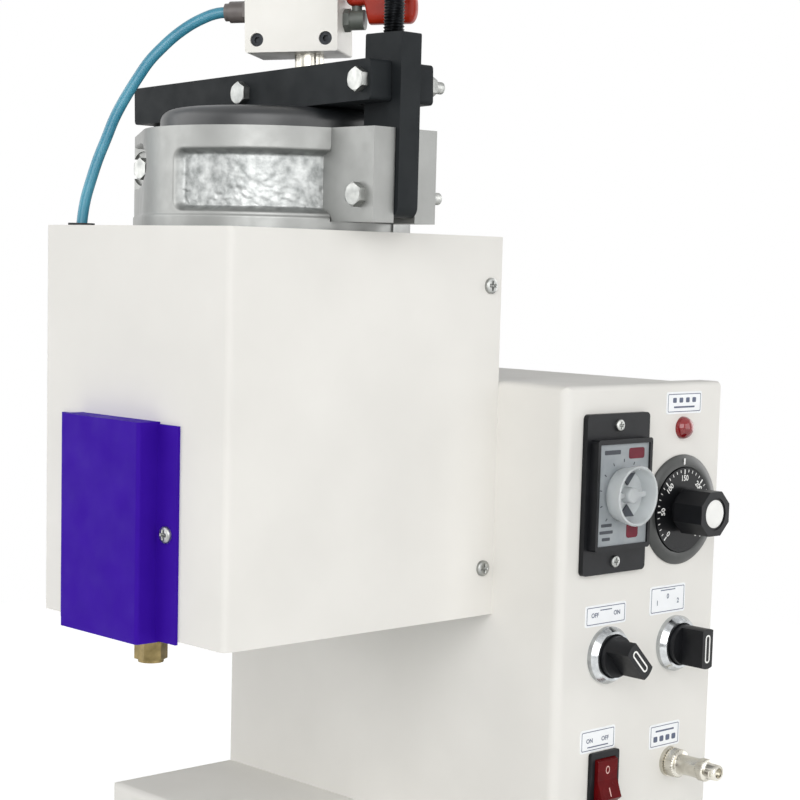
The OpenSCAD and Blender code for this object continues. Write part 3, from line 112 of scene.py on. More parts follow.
def linear(code):
    """Linear colour of an sRGB hex code, by the sRGB curve."""
    parts = [int(code[k:k + 2], 16) / 255 for k in (1, 3, 5)]
    return [p / 12.92 if p <= 0.04045 else ((p + 0.055) / 1.055) ** 2.4 for p in parts] + [1.0]


def add(tree, kind, settings=None, links=None):
    """Adds one node, sets its sockets and properties by name, and links (node, output) pairs."""
    node = tree.nodes.new(kind)
    for name, value in (settings or {}).items():
        if isinstance(name, int) or name in node.inputs:
            node.inputs[name].default_value = value
        else:
            setattr(node, name, value)
    for name, (source, output) in (links or {}).items():
        tree.links.new(source.outputs[output], node.inputs[name])
    return node


def start(name, code, **sockets):
    """A new material and its Principled shader; sockets go by name, spaces as underscores."""
    material = bpy.data.materials.new(name)
    material.use_nodes = True
    tree = material.node_tree
    shader = tree.nodes["Principled BSDF"]
    shader.inputs["Base Color"].default_value = linear(code)
    for key, value in sockets.items():
        shader.inputs[key.replace("_", " ")].default_value = value
    coords = add(tree, "ShaderNodeTexCoord")
    return material, tree, shader, coords


def grain(tree, shader, coords, size_mm, height_mm, detail, strength):
    """Bump of a noise whose lumps are size_mm wide and height_mm high."""
    lumps = add(tree, "ShaderNodeTexNoise", {"Scale": 1 / (size_mm * MM), "Detail": detail},
                {"Vector": (coords, "Object")})
    bump = add(tree, "ShaderNodeBump", {"Strength": strength, "Distance": height_mm * MM},
               {"Height": (lumps, "Fac")})
    tree.links.new(bump.outputs["Normal"], shader.inputs["Normal"])


def mottle(tree, coords, size_mm, low, high, detail=3.0):
    """Colour that drifts between two codes over patches size_mm wide."""
    patches = add(tree, "ShaderNodeTexNoise", {"Scale": 1 / (size_mm * MM), "Detail": detail},
                  {"Vector": (coords, "Object")})
    ramp = add(tree, "ShaderNodeValToRGB", None, {"Fac": (patches, "Fac")})
    ramp.color_ramp.elements[0].position = NOISE_LOW
    ramp.color_ramp.elements[1].position = NOISE_HIGH
    ramp.color_ramp.elements[0].color = linear(low)
    ramp.color_ramp.elements[1].color = linear(high)
    return ramp


def paint(tree, shader, coords, size_mm, low, high):
    """Base colour that drifts between two codes over patches size_mm wide."""
    tint = mottle(tree, coords, size_mm, low, high)
    tree.links.new(tint.outputs["Color"], shader.inputs["Base Color"])


def spread(tree, shader, coords, size_mm, low, high):
    """Roughness that drifts between two values over patches size_mm wide."""
    patches = add(tree, "ShaderNodeTexNoise", {"Scale": 1 / (size_mm * MM), "Detail": 4.0},
                  {"Vector": (coords, "Object")})
    span = add(tree, "ShaderNodeMapRange",
               {"From Min": NOISE_LOW, "From Max": NOISE_HIGH, "To Min": low, "To Max": high},
               {"Value": (patches, "Fac")})
    tree.links.new(span.outputs["Result"], shader.inputs["Roughness"])


def powder_coat(name, low, high):
    """Epoxy powder coat baked on sheet steel: a soft satin white with a faint orange peel and
    hardly any drift of tone. The peel, under a millimetre in life, is drawn at 1.2 mm to show."""
    material, tree, shader, coords = start(name, high, Roughness=0.5, IOR=1.5,
                                           Specular_IOR_Level=0.08)
    paint(tree, shader, coords, 60, low, high)
    spread(tree, shader, coords, 25, 0.46, 0.56)
    grain(tree, shader, coords, 1.2, 0.03, 2.0, 0.25)
    return material


def cast_aluminium():
    """Sand cast aluminium, fettled outside: an even pale satin skin with a fine sand grain of
    about 0.8 mm. In the pockets, marked by the neck's own attribute, the skin stays as it came
    from the mould: bright and grey patches of about 5 mm and crinkles of about 3 mm."""
    material, tree, shader, coords = start("sand_cast_aluminium", "#BFC0BD", Metallic=1.0,
                                           Roughness=0.45)
    pocket = add(tree, "ShaderNodeAttribute", {"attribute_name": "pocket"})
    fettled = mottle(tree, coords, 30, "#8A8B89", "#969795")
    raw = mottle(tree, coords, 5, "#7E8180", "#BBBDBC", 6.0)
    tint = add(tree, "ShaderNodeMixRGB", None,
               {"Fac": (pocket, "Fac"), "Color1": (fettled, "Color"), "Color2": (raw, "Color")})
    tree.links.new(tint.outputs["Color"], shader.inputs["Base Color"])
    spread(tree, shader, coords, 7, 0.4, 0.52)
    lumps = add(tree, "ShaderNodeTexNoise", {"Scale": 1 / (3 * MM), "Detail": 4.0},
                {"Vector": (coords, "Object")})
    crinkle = add(tree, "ShaderNodeMath", {"operation": "MULTIPLY"},
                  {0: (lumps, "Fac"), 1: (pocket, "Fac")})
    sand = add(tree, "ShaderNodeTexNoise", {"Scale": 1 / (0.8 * MM), "Detail": 3.0},
               {"Vector": (coords, "Object")})
    broad = add(tree, "ShaderNodeBump", {"Strength": 0.5, "Distance": 0.6 * MM},
                {"Height": (crinkle, "Value")})
    fine = add(tree, "ShaderNodeBump", {"Strength": 0.25, "Distance": 0.1 * MM},
               {"Height": (sand, "Fac"), "Normal": (broad, "Normal")})
    tree.links.new(fine.outputs["Normal"], shader.inputs["Normal"])
    return material


def plated_metal(name, low, high, rough_low, rough_high):
    """Plated or turned metal: an even mirror tone that drifts a little, with fine machining
    lines, drawn 0.4 mm apart and so coarser than life, so that they show."""
    material, tree, shader, coords = start(name, high, Metallic=1.0, Roughness=rough_low)
    paint(tree, shader, coords, 5, low, high)
    spread(tree, shader, coords, 3, rough_low, rough_high)
    grain(tree, shader, coords, 0.4, 0.02, 2.0, 0.2)
    return material


def enamel(name, low, high, rough, specular=0.5, peel_mm=1.5, peel_strength=0.2):
    """Sprayed enamel on machined steel: a deep even colour under a thin satin skin, with a
    slight orange peel and dust-dulled patches."""
    material, tree, shader, coords = start(name, high, Roughness=rough, IOR=1.5,
                                           Specular_IOR_Level=specular)
    paint(tree, shader, coords, 18, low, high)
    spread(tree, shader, coords, 12, rough * 0.85, rough * 1.25)
    grain(tree, shader, coords, peel_mm, 0.03, 2.0, peel_strength)
    return material


def moulded(name, low, high, rough, spark_mm=0.5, spark=0.2, specular=0.5):
    """Injection moulded plastic: one dyed colour with the spark-eroded mould's fine texture,
    drawn at about half a millimetre so that it shows."""
    material, tree, shader, coords = start(name, high, Roughness=rough, IOR=1.5,
                                           Specular_IOR_Level=specular)
    paint(tree, shader, coords, 8, low, high)
    spread(tree, shader, coords, 6, rough * 0.9, rough * 1.15)
    grain(tree, shader, coords, spark_mm, 0.02, 1.0, spark)
    return material


def hose_polyurethane():
    """Extruded polyurethane tube: a clear teal blue that glows a little at its edges, glossy,
    with faint draw lines along it."""
    material, tree, shader, coords = start("extruded_polyurethane", "#3F8CA6", Roughness=0.22,
                                           IOR=1.48, Subsurface_Weight=0.2, Subsurface_Scale=0.003)
    shader.inputs["Subsurface Radius"].default_value = (0.3, 0.8, 1.0)
    paint(tree, shader, coords, 14, "#37849E", "#4E98AE")
    spread(tree, shader, coords, 6, 0.18, 0.28)
    grain(tree, shader, coords, 1.0, 0.02, 1.0, 0.15)
    return material


def clear_moulding():
    """Clear polycarbonate moulding with a finely grained wall: see-through but milky, with
    bright rims and a slight haze of scratches."""
    material, tree, shader, coords = start("clear_polycarbonate", "#EDF1F2", Roughness=0.16,
                                           IOR=1.585, Transmission_Weight=0.62)
    spread(tree, shader, coords, 4, 0.12, 0.22)
    grain(tree, shader, coords, 2.0, 0.01, 1.0, 0.1)
    return material


def lamp_lens():
    """Red acrylic lamp lens: a deep even red when off, glossy under a clear skin."""
    material, tree, shader, coords = start("red_acrylic_lens", "#7E0F16", Roughness=0.12, IOR=1.49,
                                           Transmission_Weight=0.25, Coat_Weight=0.5)
    paint(tree, shader, coords, 9, "#860D15", "#A4151D")
    grain(tree, shader, coords, 3.0, 0.03, 1.0, 0.08)
    return material


def wool():
    """Mineral wool: matt tan fibres in clumps of a few millimetres."""
    material, tree, shader, coords = start("mineral_wool", "#B9A67C", Roughness=0.95)
    paint(tree, shader, coords, 3, "#9C8860", "#CDBD95")
    grain(tree, shader, coords, 1.2, 0.6, 4.0, 0.8)
    return material


WHITE_COAT = powder_coat("white_powder_coat", "#E2E0DB", "#E8E6E1")
# The same white powder coat one step darker: painted shade for the cabinet's shell and top
PANEL_COAT_SHADED = powder_coat("panel_powder_coat_painted_shade", "#E1DFDA", "#E7E5E0")
CAST = cast_aluminium()
MILLED = plated_metal("milled_aluminium", "#AFB1B1", "#B9BBBB", 0.36, 0.42)
ZINC = plated_metal("zinc_plated_steel", "#8F918F", "#B6B7B4", 0.3, 0.44)
BRIGHT = plated_metal("ground_steel", "#A7A8A8", "#C8C9C9", 0.2, 0.34)
NICKEL = plated_metal("nickel_plate", "#B9B5AA", "#DAD7CE", 0.14, 0.28)
CHROME = plated_metal("bright_chrome_plate", "#A4A7A9", "#CDD0D2", 0.12, 0.24)
BRASS = plated_metal("turned_brass", "#6A5E3E", "#8E7E57", 0.3, 0.46)
OXIDE = plated_metal("black_oxide_steel", "#1E1F21", "#333538", 0.36, 0.5)
BLACK_ENAMEL = enamel("charcoal_enamel", "#1E2123", "#25282A", 0.5, 0.1)
LID_BLACK = enamel("stove_enamel_black", "#1C1E20", "#212325", 0.36, 0.7, 4.0, 0.04)
BLUE_ENAMEL = enamel("blue_enamel", "#360F97", "#3A129D", 0.55, 0.06)
BLOCK_WHITE = enamel("white_enamel", "#E8E6DF", "#ECEAE4", 0.36)
BLACK_PLASTIC = moulded("black_nylon", "#141517", "#1A1B1E", 0.4, 0.5, 0.2, 0.22)
DIAL_BLACK = moulded("black_dial_plastic", "#101113", "#151618", 0.3, 0.5, 0.2, 0.22)
RING_GREY = moulded("dark_grey_ring", "#2E302F", "#383A38", 0.34)
TIMER_GREY = moulded("grey_timer_face", "#868C90", "#959A9D", 0.4)
SWITCH_GREY = moulded("grey_switch_body", "#77797A", "#8A8C8D", 0.5)
FITTING_GREY = moulded("grey_fitting", "#5C5654", "#6E6764", 0.35)
VALVE_GREY = moulded("grey_green_valve", "#555A55", "#686E67", 0.4)
LEVER_RED = moulded("vermilion_dip_coat", "#9C2412", "#AF2E18", 0.3, 2.0, 0.1, 0.2)
ROCKER_RED = moulded("red_rocker", "#550A0D", "#640E11", 0.25, 0.5, 0.1, 0.08)
RUBBER = moulded("black_rubber", "#1B1B1B", "#262626", 0.7)
SILICONE = moulded("grey_silicone", "#3A3B3B", "#464747", 0.55)
PRINT_WHITE = moulded("white_print", "#E9E9E6", "#F2F2EF", 0.5)
PRINT_PALE = moulded("pale_print", "#D9A8A0", "#E2B6AE", 0.5)
PRINT_DARK = moulded("dark_print", "#23272F", "#2C313A", 0.5)
PRINT_RED = moulded("red_print", "#5A1022", "#6A1528", 0.4, 0.5, 0.2, 0.2)
LABEL_WHITE = moulded("label_laminate", "#EEF0F2", "#F2F4F6", 0.4, 2.0, 0.02)
LABEL_BLUE = moulded("label_ink", "#4A5368", "#58627A", 0.5)
HOSE = hose_polyurethane()
CLEAR = clear_moulding()
LENS_RED = lamp_lens()
WOOL = wool()

FINISHES = {
    WHITE_COAT: ("head_casing", "base_tray", "cabinet_back"),
    # the darker copy of the white coat, painted shade on the cabinet
    PANEL_COAT_SHADED: ("cabinet_shell", "cabinet_top"),
    CAST: ("glue_tank",),
    MILLED: ("head_frame", "valve_block", "valve_cylinder"),
    ZINC: ("frame_bolts", "hinge_bolt", "catch_bolt", "arm_bolts", "head_screws", "cover_screws",
           "timer_screws", "cabinet_screws"),
    BRIGHT: ("tank_heaters", "heat_probe", "valve_needle", "valve_spring"),
    NICKEL: ("air_nipple", "foot_socket", "foot_plug", "air_inlet"),
    CHROME: ("selector_bezels",),
    BRASS: ("nozzle",),
    OXIDE: ("clamp_screw", "block_screws"),
    BLACK_ENAMEL: ("clamp_arm", "clamp_post"),
    LID_BLACK: ("lid",),
    BLUE_ENAMEL: ("valve_cover",),
    BLOCK_WHITE: ("air_block",),
    BLACK_PLASTIC: ("clamp_knob", "timer_frame", "stat_knob", "selector_left", "selector_right",
                    "rocker_frame", "mains_inlet"),
    DIAL_BLACK: ("stat_dial",),
    RING_GREY: ("stat_bezel",),
    TIMER_GREY: ("timer_case",),
    SWITCH_GREY: ("stat_case", "selector_blocks", "solenoid_valve", "heater_relay",
                  "terminal_block"),
    FITTING_GREY: ("hose_fitting",),
    VALVE_GREY: ("vent_valve",),
    LEVER_RED: ("vent_lever",),
    ROCKER_RED: ("power_rocker",),
    RUBBER: ("base_feet", "hose_grommet"),
    SILICONE: ("lid_gasket",),
    HOSE: ("air_hose",),
    CLEAR: ("timer_knob",),
    LENS_RED: ("pilot_lamp",),
    WOOL: ("tank_insulation",),
}


def finish_solids():
    """Gives each solid its finish."""
    for material, names in FINISHES.items():
        for name in names:
            for finish in NODES[name].material_slots:
                finish.material = material


# Shapes worked out as whole arrays

def grid_faces(grid, wrap=True, caps=True, base=0):
    """Faces of a grid of points (rows, columns, 3), counted from base: quads join neighbours,
    columns close on themselves when wrap is set, and caps close the first and last rows."""
    rows, columns = grid.shape[:2]
    row, column = np.meshgrid(np.arange(rows - 1), np.arange(columns if wrap else columns - 1),
                              indexing="ij")
    this, after = row * columns + base, (column + 1) % columns
    quads = np.stack([this + column, this + after, this + columns + after,
                      this + columns + column], axis=-1).reshape(-1, 4)
    faces = quads.tolist()
    if caps:
        faces.append(list(range(base + columns - 1, base - 1, -1)))
        faces.append(list(range(base + (rows - 1) * columns, base + rows * columns)))
    return faces


def surface(name, grid, material, wrap=True, caps=True):
    """One piece from one grid of points."""
    return piece(name, grid.reshape(-1, 3), grid_faces(grid, wrap, caps), material)


def piece(name, points, faces, material, smooth=40):
    """An object at the origin with its place in its mesh, in metres, and shaded smooth below an
    edge angle."""
    mesh = bpy.data.meshes.new(name)
    mesh.from_pydata(np.asarray(points).tolist(), [], faces)
    mesh.materials.append(material)
    mesh.polygons.foreach_set("use_smooth", np.ones(len(mesh.polygons), dtype=bool))
    mesh.set_sharp_from_angle(angle=math.radians(smooth))
    mesh.update()
    made = bpy.data.objects.new(name, mesh)
    bpy.context.scene.collection.objects.link(made)
    return made


def join(name, grids, material, smooth=40):
    """One piece from several closed grids of (rows, columns, 3), each capped at both ends."""
    points, faces, base = [], [], 0
    for grid in grids:
        faces += grid_faces(grid, base=base)
        points.append(grid.reshape(-1, 3))
        base += len(points[-1])
    return piece(name, np.concatenate(points), faces, material, smooth)


def place(grid, origin, x_axis, y_axis, z_axis):
    """Grid of local millimetres set at an origin in metres on three unit axes."""
    axes = np.array([x_axis, y_axis, z_axis], dtype=float)
    return np.asarray(origin, dtype=float) + MM * (grid @ axes)


def middle(node):
    """Centre of a solid's box, in metres."""
    low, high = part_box(node)
    return (np.array(low) + np.array(high)) / 2


def points_of(node):
    """Points of a solid's mesh, in metres."""
    points = np.empty(len(NODES[node].data.vertices) * 3)
    NODES[node].data.vertices.foreach_get("co", points)
    return points.reshape(-1, 3)


def box_mm(node):
    """Lowest and highest corner of a solid's box."""
    return (np.array(corner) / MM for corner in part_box(node))


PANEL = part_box("cabinet_shell")[1][0]  # the control panel's plane, in metres


def on_panel(grid, centre, out):
    """Grid of local millimetres set on the control panel: x runs to the rear, y up, and z out from
    the plane out, which is in metres as the centre is."""
    return place(grid, (out, centre[1], centre[2]), (0, 1, 0), (0, 0, 1), (1, 0, 0))


def rounded(width, height, radius, steps=6):
    """Outline of a rectangle with round corners about the origin, anticlockwise."""
    turn = np.linspace(0, math.pi / 2, steps)
    corners = []
    for k, (sx, sy) in enumerate(((1, 1), (-1, 1), (-1, -1), (1, -1))):
        angle = turn + k * math.pi / 2
        corners.append(np.stack([sx * (width / 2 - radius) + radius * np.cos(angle),
                                 sy * (height / 2 - radius) + radius * np.sin(angle)], axis=-1))
    return np.concatenate(corners)


def all_round(columns):
    """Angles of so many even steps round a circle."""
    return np.linspace(0, 2 * math.pi, columns, endpoint=False)


def ray(radius, angle):
    """Point at a radius and an angle in degrees."""
    return radius * math.cos(math.radians(angle)), radius * math.sin(math.radians(angle))


def spin(turn):
    """Matrix that turns rows of (x, y) anticlockwise by an angle in degrees."""
    c, s = ray(1, turn)
    return np.array([[c, s], [-s, c]])


def stacked(rows):
    """Grid of flat outlines, each at its own height: rows are (outline, height)."""
    return np.stack([np.insert(line, 2, z, axis=1) for line, z in rows])


def slab(outline, low, high, edge=0.0):
    """Closed plate over an outline from low to high, with its top edge drawn in by edge."""
    centre = outline.mean(axis=0)
    shrunk = centre + (outline - centre) * (1 - edge / np.abs(outline - centre).max())
    top = [(outline, high - edge), (shrunk, high)] if edge else [(outline, high)]
    return stacked([(outline, low), *top])


def polar(radius, angle, height):
    """Grid of points about z at these radii, angles and heights."""
    radius, angle, height = np.broadcast_arrays(radius, angle, height)
    return np.stack([radius * np.cos(angle), radius * np.sin(angle), height], axis=-1)


def turned(profile, columns=48):
    """Surface of revolution about z: each profile point (radius, z) carried round."""
    radius, height = np.asarray(profile, dtype=float).T
    return polar(radius[:, None], all_round(columns), height[:, None])


def ease(value):
    """Smooth step from 0 to 1: three squares less two cubes of the clipped value."""
    value = np.clip(value, 0, 1)
    return value * value * (3 - 2 * value)


# Air hose

HOSE_R = 2.7
HOSE_ROUTE = [(-14, -83.75, 474), (-18, -86.25, 473.8), (-21.5, -89.25, 473.3),
              (-25, -93.25, 471.5), (-29.5, -99.25, 467.5), (-34, -105.25, 462),
              (-38, -110.25, 456), (-42, -115.25, 449), (-46, -119.75, 440), (-50, -124.25, 430),
              (-53, -127.75, 421), (-55.5, -130.75, 411), (-58, -133.75, 401), (-60, -136.25, 391),
              (-61.5, -138.25, 382), (-62.5, -139.25, 374), (-63, -139.75, 366),
              (-63, -139.75, 358)]
HOSE_ASIDE = (0.6, -0.8, 0.0)  # a level direction that the route never follows


def smooth_route(points, per_span=6):
    """Catmull-Rom curve through the points: each span is the cubic whose end slopes are half
    the chords of its neighbours."""
    p = np.array([points[0], *points, points[-1]], dtype=float)
    t = np.linspace(0, 1, per_span, endpoint=False)[:, None, None]
    a, b, c, d = p[:-3], p[1:-2], p[2:-1], p[3:]
    spans = 0.5 * (2 * b + (c - a) * t + (2 * a - 5 * b + 4 * c - d) * t ** 2
                   + (3 * b - a - 3 * c + d) * t ** 3)
    return np.concatenate([spans.transpose(1, 0, 2).reshape(-1, 3), p[-1:]])


def tube(route, radius, columns=24):
    """Circle carried along a route: at each point it stands square to the route's direction."""
    along = np.gradient(route, axis=0)
    along /= np.linalg.norm(along, axis=1, keepdims=True)
    side = np.cross(along, HOSE_ASIDE)
    side /= np.linalg.norm(side, axis=1, keepdims=True)
    up = np.cross(along, side)
    angle = all_round(columns)[None, :, None]
    return route[:, None] + radius * (np.cos(angle) * side[:, None] + np.sin(angle) * up[:, None])


def make_hose():
    """The air hose, bending between the head and the lid's arm."""
    route = smooth_route(HOSE_ROUTE) * MM
    hose = surface("hose_tube", tube(route, HOSE_R * MM), HOSE)
    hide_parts("air_hose")
    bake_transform(hose)


# Clamp screw's thread

THREAD_PITCH = 1.5
THREAD_DEPTH = 0.8
THREAD_BEVEL = 0.4
THREAD_STEPS = 8
THREAD_COLUMNS = 40


def make_thread():
    """Threaded rod: the radius falls and rises by a triangle wave of height along the axis,
    shifted by one pitch for each turn."""
    low, high = box_mm("clamp_screw")
    height = np.linspace(low[2], high[2], int((high[2] - low[2]) / THREAD_PITCH * THREAD_STEPS))
    angle = all_round(THREAD_COLUMNS)
    wave = np.abs((height[:, None] / THREAD_PITCH - angle[None] / (2 * math.pi)) % 1 - 0.5) * 2
    radius = (high[0] - low[0]) / 2 - THREAD_DEPTH * wave
    radius[[0, -1]] -= THREAD_BEVEL
    centre = (low + high) / 2
    grid = polar(radius, angle, height[:, None]) + (centre[0], centre[1], 0)
    rod = surface("clamp_screw_thread", grid * MM, OXIDE)
    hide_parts("clamp_screw")
    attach(rod, "clamp_screw")


# Cast neck

LUG_HALF = 20
NECK_R = 61.1
POCKET_ANGLES = (13, 88)
POCKET_HEIGHTS = (7.1, 37.5)
POCKET_CORNER = 6
POCKET_SLOPE = 3.6
SCOOP_LONG = 59
SCOOP_HIGH = 11.5
SCOOP_STEEP = 2.2
SCOOP_SINK = 0.2
SPOT_DEPTH = 1.4
SKIN_PROUD = 0.06  # how far the skin stands off the rim
SKIN_SHORT = 0.05  # how far it stops short of the roof and of the rim's top
SKIN_CORE = 1.5  # how deep its back lies inside the neck
FIRST_ANGLE = 17.8
CRINKLE_SEED = 11
CRINKLE_WAVES = 24
CRINKLE_LENGTHS = (3, 14)
CRINKLE_FULL = 8  # the sum of waves that makes a full ridge
CRINKLE_DEPTH = 0.45
CRINKLE_TOP, CRINKLE_FADE = 34, 20
FOOT_PROUD = 0.8
FOOT_TOP, FOOT_SLOPE = 5.4, 1.2


def pocket_share(along, height):
    """How far a point lies inside the pocket: 0 outside, 1 past the slope of its rounded edge.
    The edge is a rectangle with round corners, by its distance to the point."""
    first, last = np.radians(POCKET_ANGLES) * NECK_R
    low, high = POCKET_HEIGHTS
    x = np.abs(along - (first + last) / 2) - ((last - first) / 2 - POCKET_CORNER)
    y = np.abs(height - (low + high) / 2) - ((high - low) / 2 - POCKET_CORNER)
    outside = np.hypot(np.maximum(x, 0), np.maximum(y, 0)) + np.minimum(np.maximum(x, y), 0)
    return ease((POCKET_CORNER - outside) / POCKET_SLOPE)


def crinkles(along, height):
    """Ridges from 0 to 1: the size of a sum of sine waves of seeded lengths and directions."""
    draw = np.random.default_rng(CRINKLE_SEED)
    length = draw.uniform(*CRINKLE_LENGTHS, CRINKLE_WAVES)
    turn = draw.uniform(0, 2 * math.pi, CRINKLE_WAVES)
    phase = draw.uniform(0, 2 * math.pi, CRINKLE_WAVES)
    across = along[..., None] * np.cos(turn) + height[..., None] * np.sin(turn)
    total = np.sin(2 * math.pi * across / length + phase).sum(axis=-1)
    return np.clip(np.abs(total) / CRINKLE_FULL, 0, 1)


def make_neck():
    """Skin of the cast neck, once in front and once behind. Its radius follows the rim's circle,
    then the tangent to the left lugs' corner, which is the rim's radius over the cosine of the
    angle past the tangent point. In the pocket it sinks to the neck with crinkles, at the foot it
    stands a little proud, and beside the hinge bolt a long scoop sinks to the neck and lug. The
    scoop's edge is where the cubes of the two shares of its length and height add up to one."""
    low, high = box_mm("glue_tank")
    centre, reach = (low + high) / 2, (high[0] - low[0]) / 2
    rim, roof = (high[1] - low[1]) / 2 + SKIN_PROUD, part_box("head_frame")[1][2] / MM
    hinge = np.array(JOINTS["arm_hinge"]["pos_m"]) / MM
    corner = math.pi - math.atan2(LUG_HALF, reach)
    tangent = corner - math.acos(rim / math.hypot(reach, LUG_HALF))
    height, angle = np.meshgrid(np.linspace(SKIN_SHORT, high[2] - roof - SKIN_SHORT, 100),
                                np.linspace(math.radians(FIRST_ANGLE), corner, 260))
    hull = rim / np.cos(np.maximum(angle - tangent, 0))
    share = pocket_share(angle * NECK_R, height)
    rough = crinkles(angle * NECK_R, height) * ease((CRINKLE_TOP - height) / CRINKLE_FADE)
    sunk = (rim - NECK_R - CRINKLE_DEPTH * rough) * share
    radius = hull - sunk + FOOT_PROUD * (1 - ease((height - FOOT_TOP) / FOOT_SLOPE))
    x, y = radius * np.cos(angle), radius * np.sin(angle)
    past = np.maximum(centre[0] + x - hinge[0], 0) / SCOOP_LONG
    beside = (roof + height - hinge[2]) / SCOOP_HIGH
    neck = np.sqrt(np.maximum((NECK_R - SCOOP_SINK) ** 2 - x ** 2, (LUG_HALF - SPOT_DEPTH) ** 2))
    scoop = ease((1 - past ** 3 - np.abs(beside) ** 3) * SCOOP_STEEP)
    y = y + scoop * (np.minimum(neck, y) - y)
    core = NECK_R - SKIN_CORE
    x = np.concatenate([x, core * np.cos(angle[:, :2])], axis=1)
    y = np.concatenate([y, core * np.sin(angle[:, :2])], axis=1)
    height = np.concatenate([height, height[:, [-1, 0]]], axis=1)
    marks = np.concatenate([share, np.zeros((len(share), 2))], axis=1)
    for name, side in (("neck_front", -1), ("neck_back", 1)):
        grid = np.stack([centre[0] + x, centre[1] + side * y, roof + height], axis=-1) * MM
        order = slice(None, None, -side)
        skin = surface(name, grid[order], CAST)
        pocket = skin.data.attributes.new("pocket", "FLOAT", "POINT")
        pocket.data.foreach_set("value", marks[order].ravel().astype(np.float32))
        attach(skin, "unit")


# Lid, vent lever and hexagon bolts

SHOULDER_WIDE, SHOULDER_LOW, SHOULDER_HIGH = 13, 1, 8
SHOULDER_POWER = 0.75
SKIRT_END = -1.4
LID_CROWN = [(15, 9.3), (AXIS_R, 9.4)]
LID_LUG = (20, 12.4, 1.5)  # its length, width and corner
LID_LUG_LOW, LID_LUG_EDGE = 5, 1


def make_lid():
    """Lid: a disc turned about the pot's axis, whose shoulder is a quarter of a superellipse from
    the skirt round the gasket up to a slight crown, and the lug that hangs from the arm's bolt."""
    low, high = box_mm("lid")
    centre, edge = (low + high) / 2, (high[0] - low[0]) / 2
    turn = np.linspace(0, math.pi / 2, 24)
    shoulder = np.stack([edge - SHOULDER_WIDE + SHOULDER_WIDE * np.cos(turn) ** SHOULDER_POWER,
                         SHOULDER_LOW + SHOULDER_HIGH * np.sin(turn) ** SHOULDER_POWER], axis=-1)
    skirt = [(AXIS_R, 0.05), (edge - 1, 0.05), (edge - 0.9, SKIRT_END), (edge - 0.3, SKIRT_END),
             (edge, SKIRT_END + 0.3)]
    profile = np.concatenate([skirt, shoulder, LID_CROWN])
    disc = turned(profile, 128) + (centre[0], centre[1], low[2])
    bolt = bolts_of("arm_bolts")[0]
    lug = slab(rounded(*LID_LUG), low[2] + LID_LUG_LOW, high[2], LID_LUG_EDGE)
    lug += (bolt[0], centre[1], 0)
    made = join("lid_shell", [disc * MM, lug * MM], LID_BLACK, 35)
    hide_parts("lid")
    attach(made, "lid_arm")


LEVER_HALF = 4.9
LEVER_POWER = 0.6  # of the cross-section's superellipse
LEVER_STEM = 7
LEVER_STEP, LEVER_SLOPE = 4.3, 2.4
LEVER_END, LEVER_BACK = 4, -1
LEVER_TIP = 3.9  # length of the tip that has closer steps
LEVER_ROUND = 4.05  # a little over the end's length, so that it doesn't close to a point
LEVER_LEAST = 0.05
LEVER_FAR = 0.9  # share of its reach past which the solid's points give its direction
LEVER_INSET = 0.1
LEVER_COLUMNS = 48


def make_lever():
    """Vent lever: a superellipse carried out from the stem. Its top stays level, its underside
    drops by a smooth step past the valve's end, and both ends close by a quarter of a circle."""
    joint = JOINTS["vent_lever_turn"]
    pivot, up = np.array(joint["pos_m"]), np.array(joint["axis"], dtype=float)
    rel = points_of("vent_lever") - pivot
    rise = rel @ up / MM
    flat = rel - np.outer(rel @ up, up)
    far = np.linalg.norm(flat, axis=1)
    out = flat[far > LEVER_FAR * far.max()].mean(axis=0)
    out /= np.linalg.norm(out)
    reach = (flat @ out).max() / MM
    tip = np.sin(np.linspace(0.05, 1, 14) * math.pi / 2)
    along = np.concatenate([np.linspace(-5, -2, 8), np.linspace(-1.5, 12, 60),
                            np.linspace(12.5, reach - LEVER_END, 10),
                            reach - LEVER_TIP + LEVER_TIP * tip])
    top = rise.max() - LEVER_INSET
    drop = ease((along - LEVER_STEP) / LEVER_SLOPE)
    base = (top - LEVER_STEM) * (1 - drop) + (rise.min() + LEVER_INSET) * drop
    past = np.maximum(np.maximum(along - (reach - LEVER_END), LEVER_BACK - along), 0)
    closing = np.maximum(np.sqrt(np.clip(1 - (past / LEVER_ROUND) ** 2, 0, 1)), LEVER_LEAST)
    angle = all_round(LEVER_COLUMNS)
    c, s = (np.sign(wave) * np.abs(wave) ** LEVER_POWER for wave in (np.cos(angle), np.sin(angle)))
    wide = np.outer(LEVER_HALF * closing, c)
    tall = np.outer((top - base) / 2 * closing, s) + ((top + base) / 2)[:, None]
    grid = np.stack([np.repeat(along[:, None], LEVER_COLUMNS, axis=1), wide, tall], axis=-1)
    made = surface("vent_grip", place(grid, pivot, out, np.cross(up, out), up), LEVER_RED)
    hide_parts("vent_lever")
    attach(made, "vent_lever")


HEX_CIRCLE = 0.985  # share of the distance to the flats
HEX_FALL = 0.5


def hex_head(corner, height):
    """Hexagon head on a polar grid: the edge is the hexagon's, and past a circle just inside its
    flats the face falls by half of what the radius grows."""
    flat = corner * math.cos(math.pi / 6)
    angle = all_round(72)
    edge = flat / np.cos((angle + math.pi / 6) % (math.pi / 3) - math.pi / 6)
    share = np.concatenate([np.linspace(0.02, 1, 16), [1.0]])
    radius = np.outer(share, edge)
    z = height - HEX_FALL * np.maximum(radius - HEX_CIRCLE * flat, 0)
    z[-1] = 0
    return polar(radius, angle, z)[::-1]


BOLTS_APART = 10


def bolts_of(node):
    """Centre x, first y, last y and centre z of each bolt in a group, split where x has a gap."""
    points = points_of(node) / MM
    points = points[np.argsort(points[:, 0])]
    groups = np.split(points, np.nonzero(np.diff(points[:, 0]) > BOLTS_APART)[0] + 1)
    ends = [(group.min(axis=0), group.max(axis=0)) for group in groups]
    return [((low[0] + high[0]) / 2, low[1], high[1], (low[2] + high[2]) / 2) for low, high in ends]


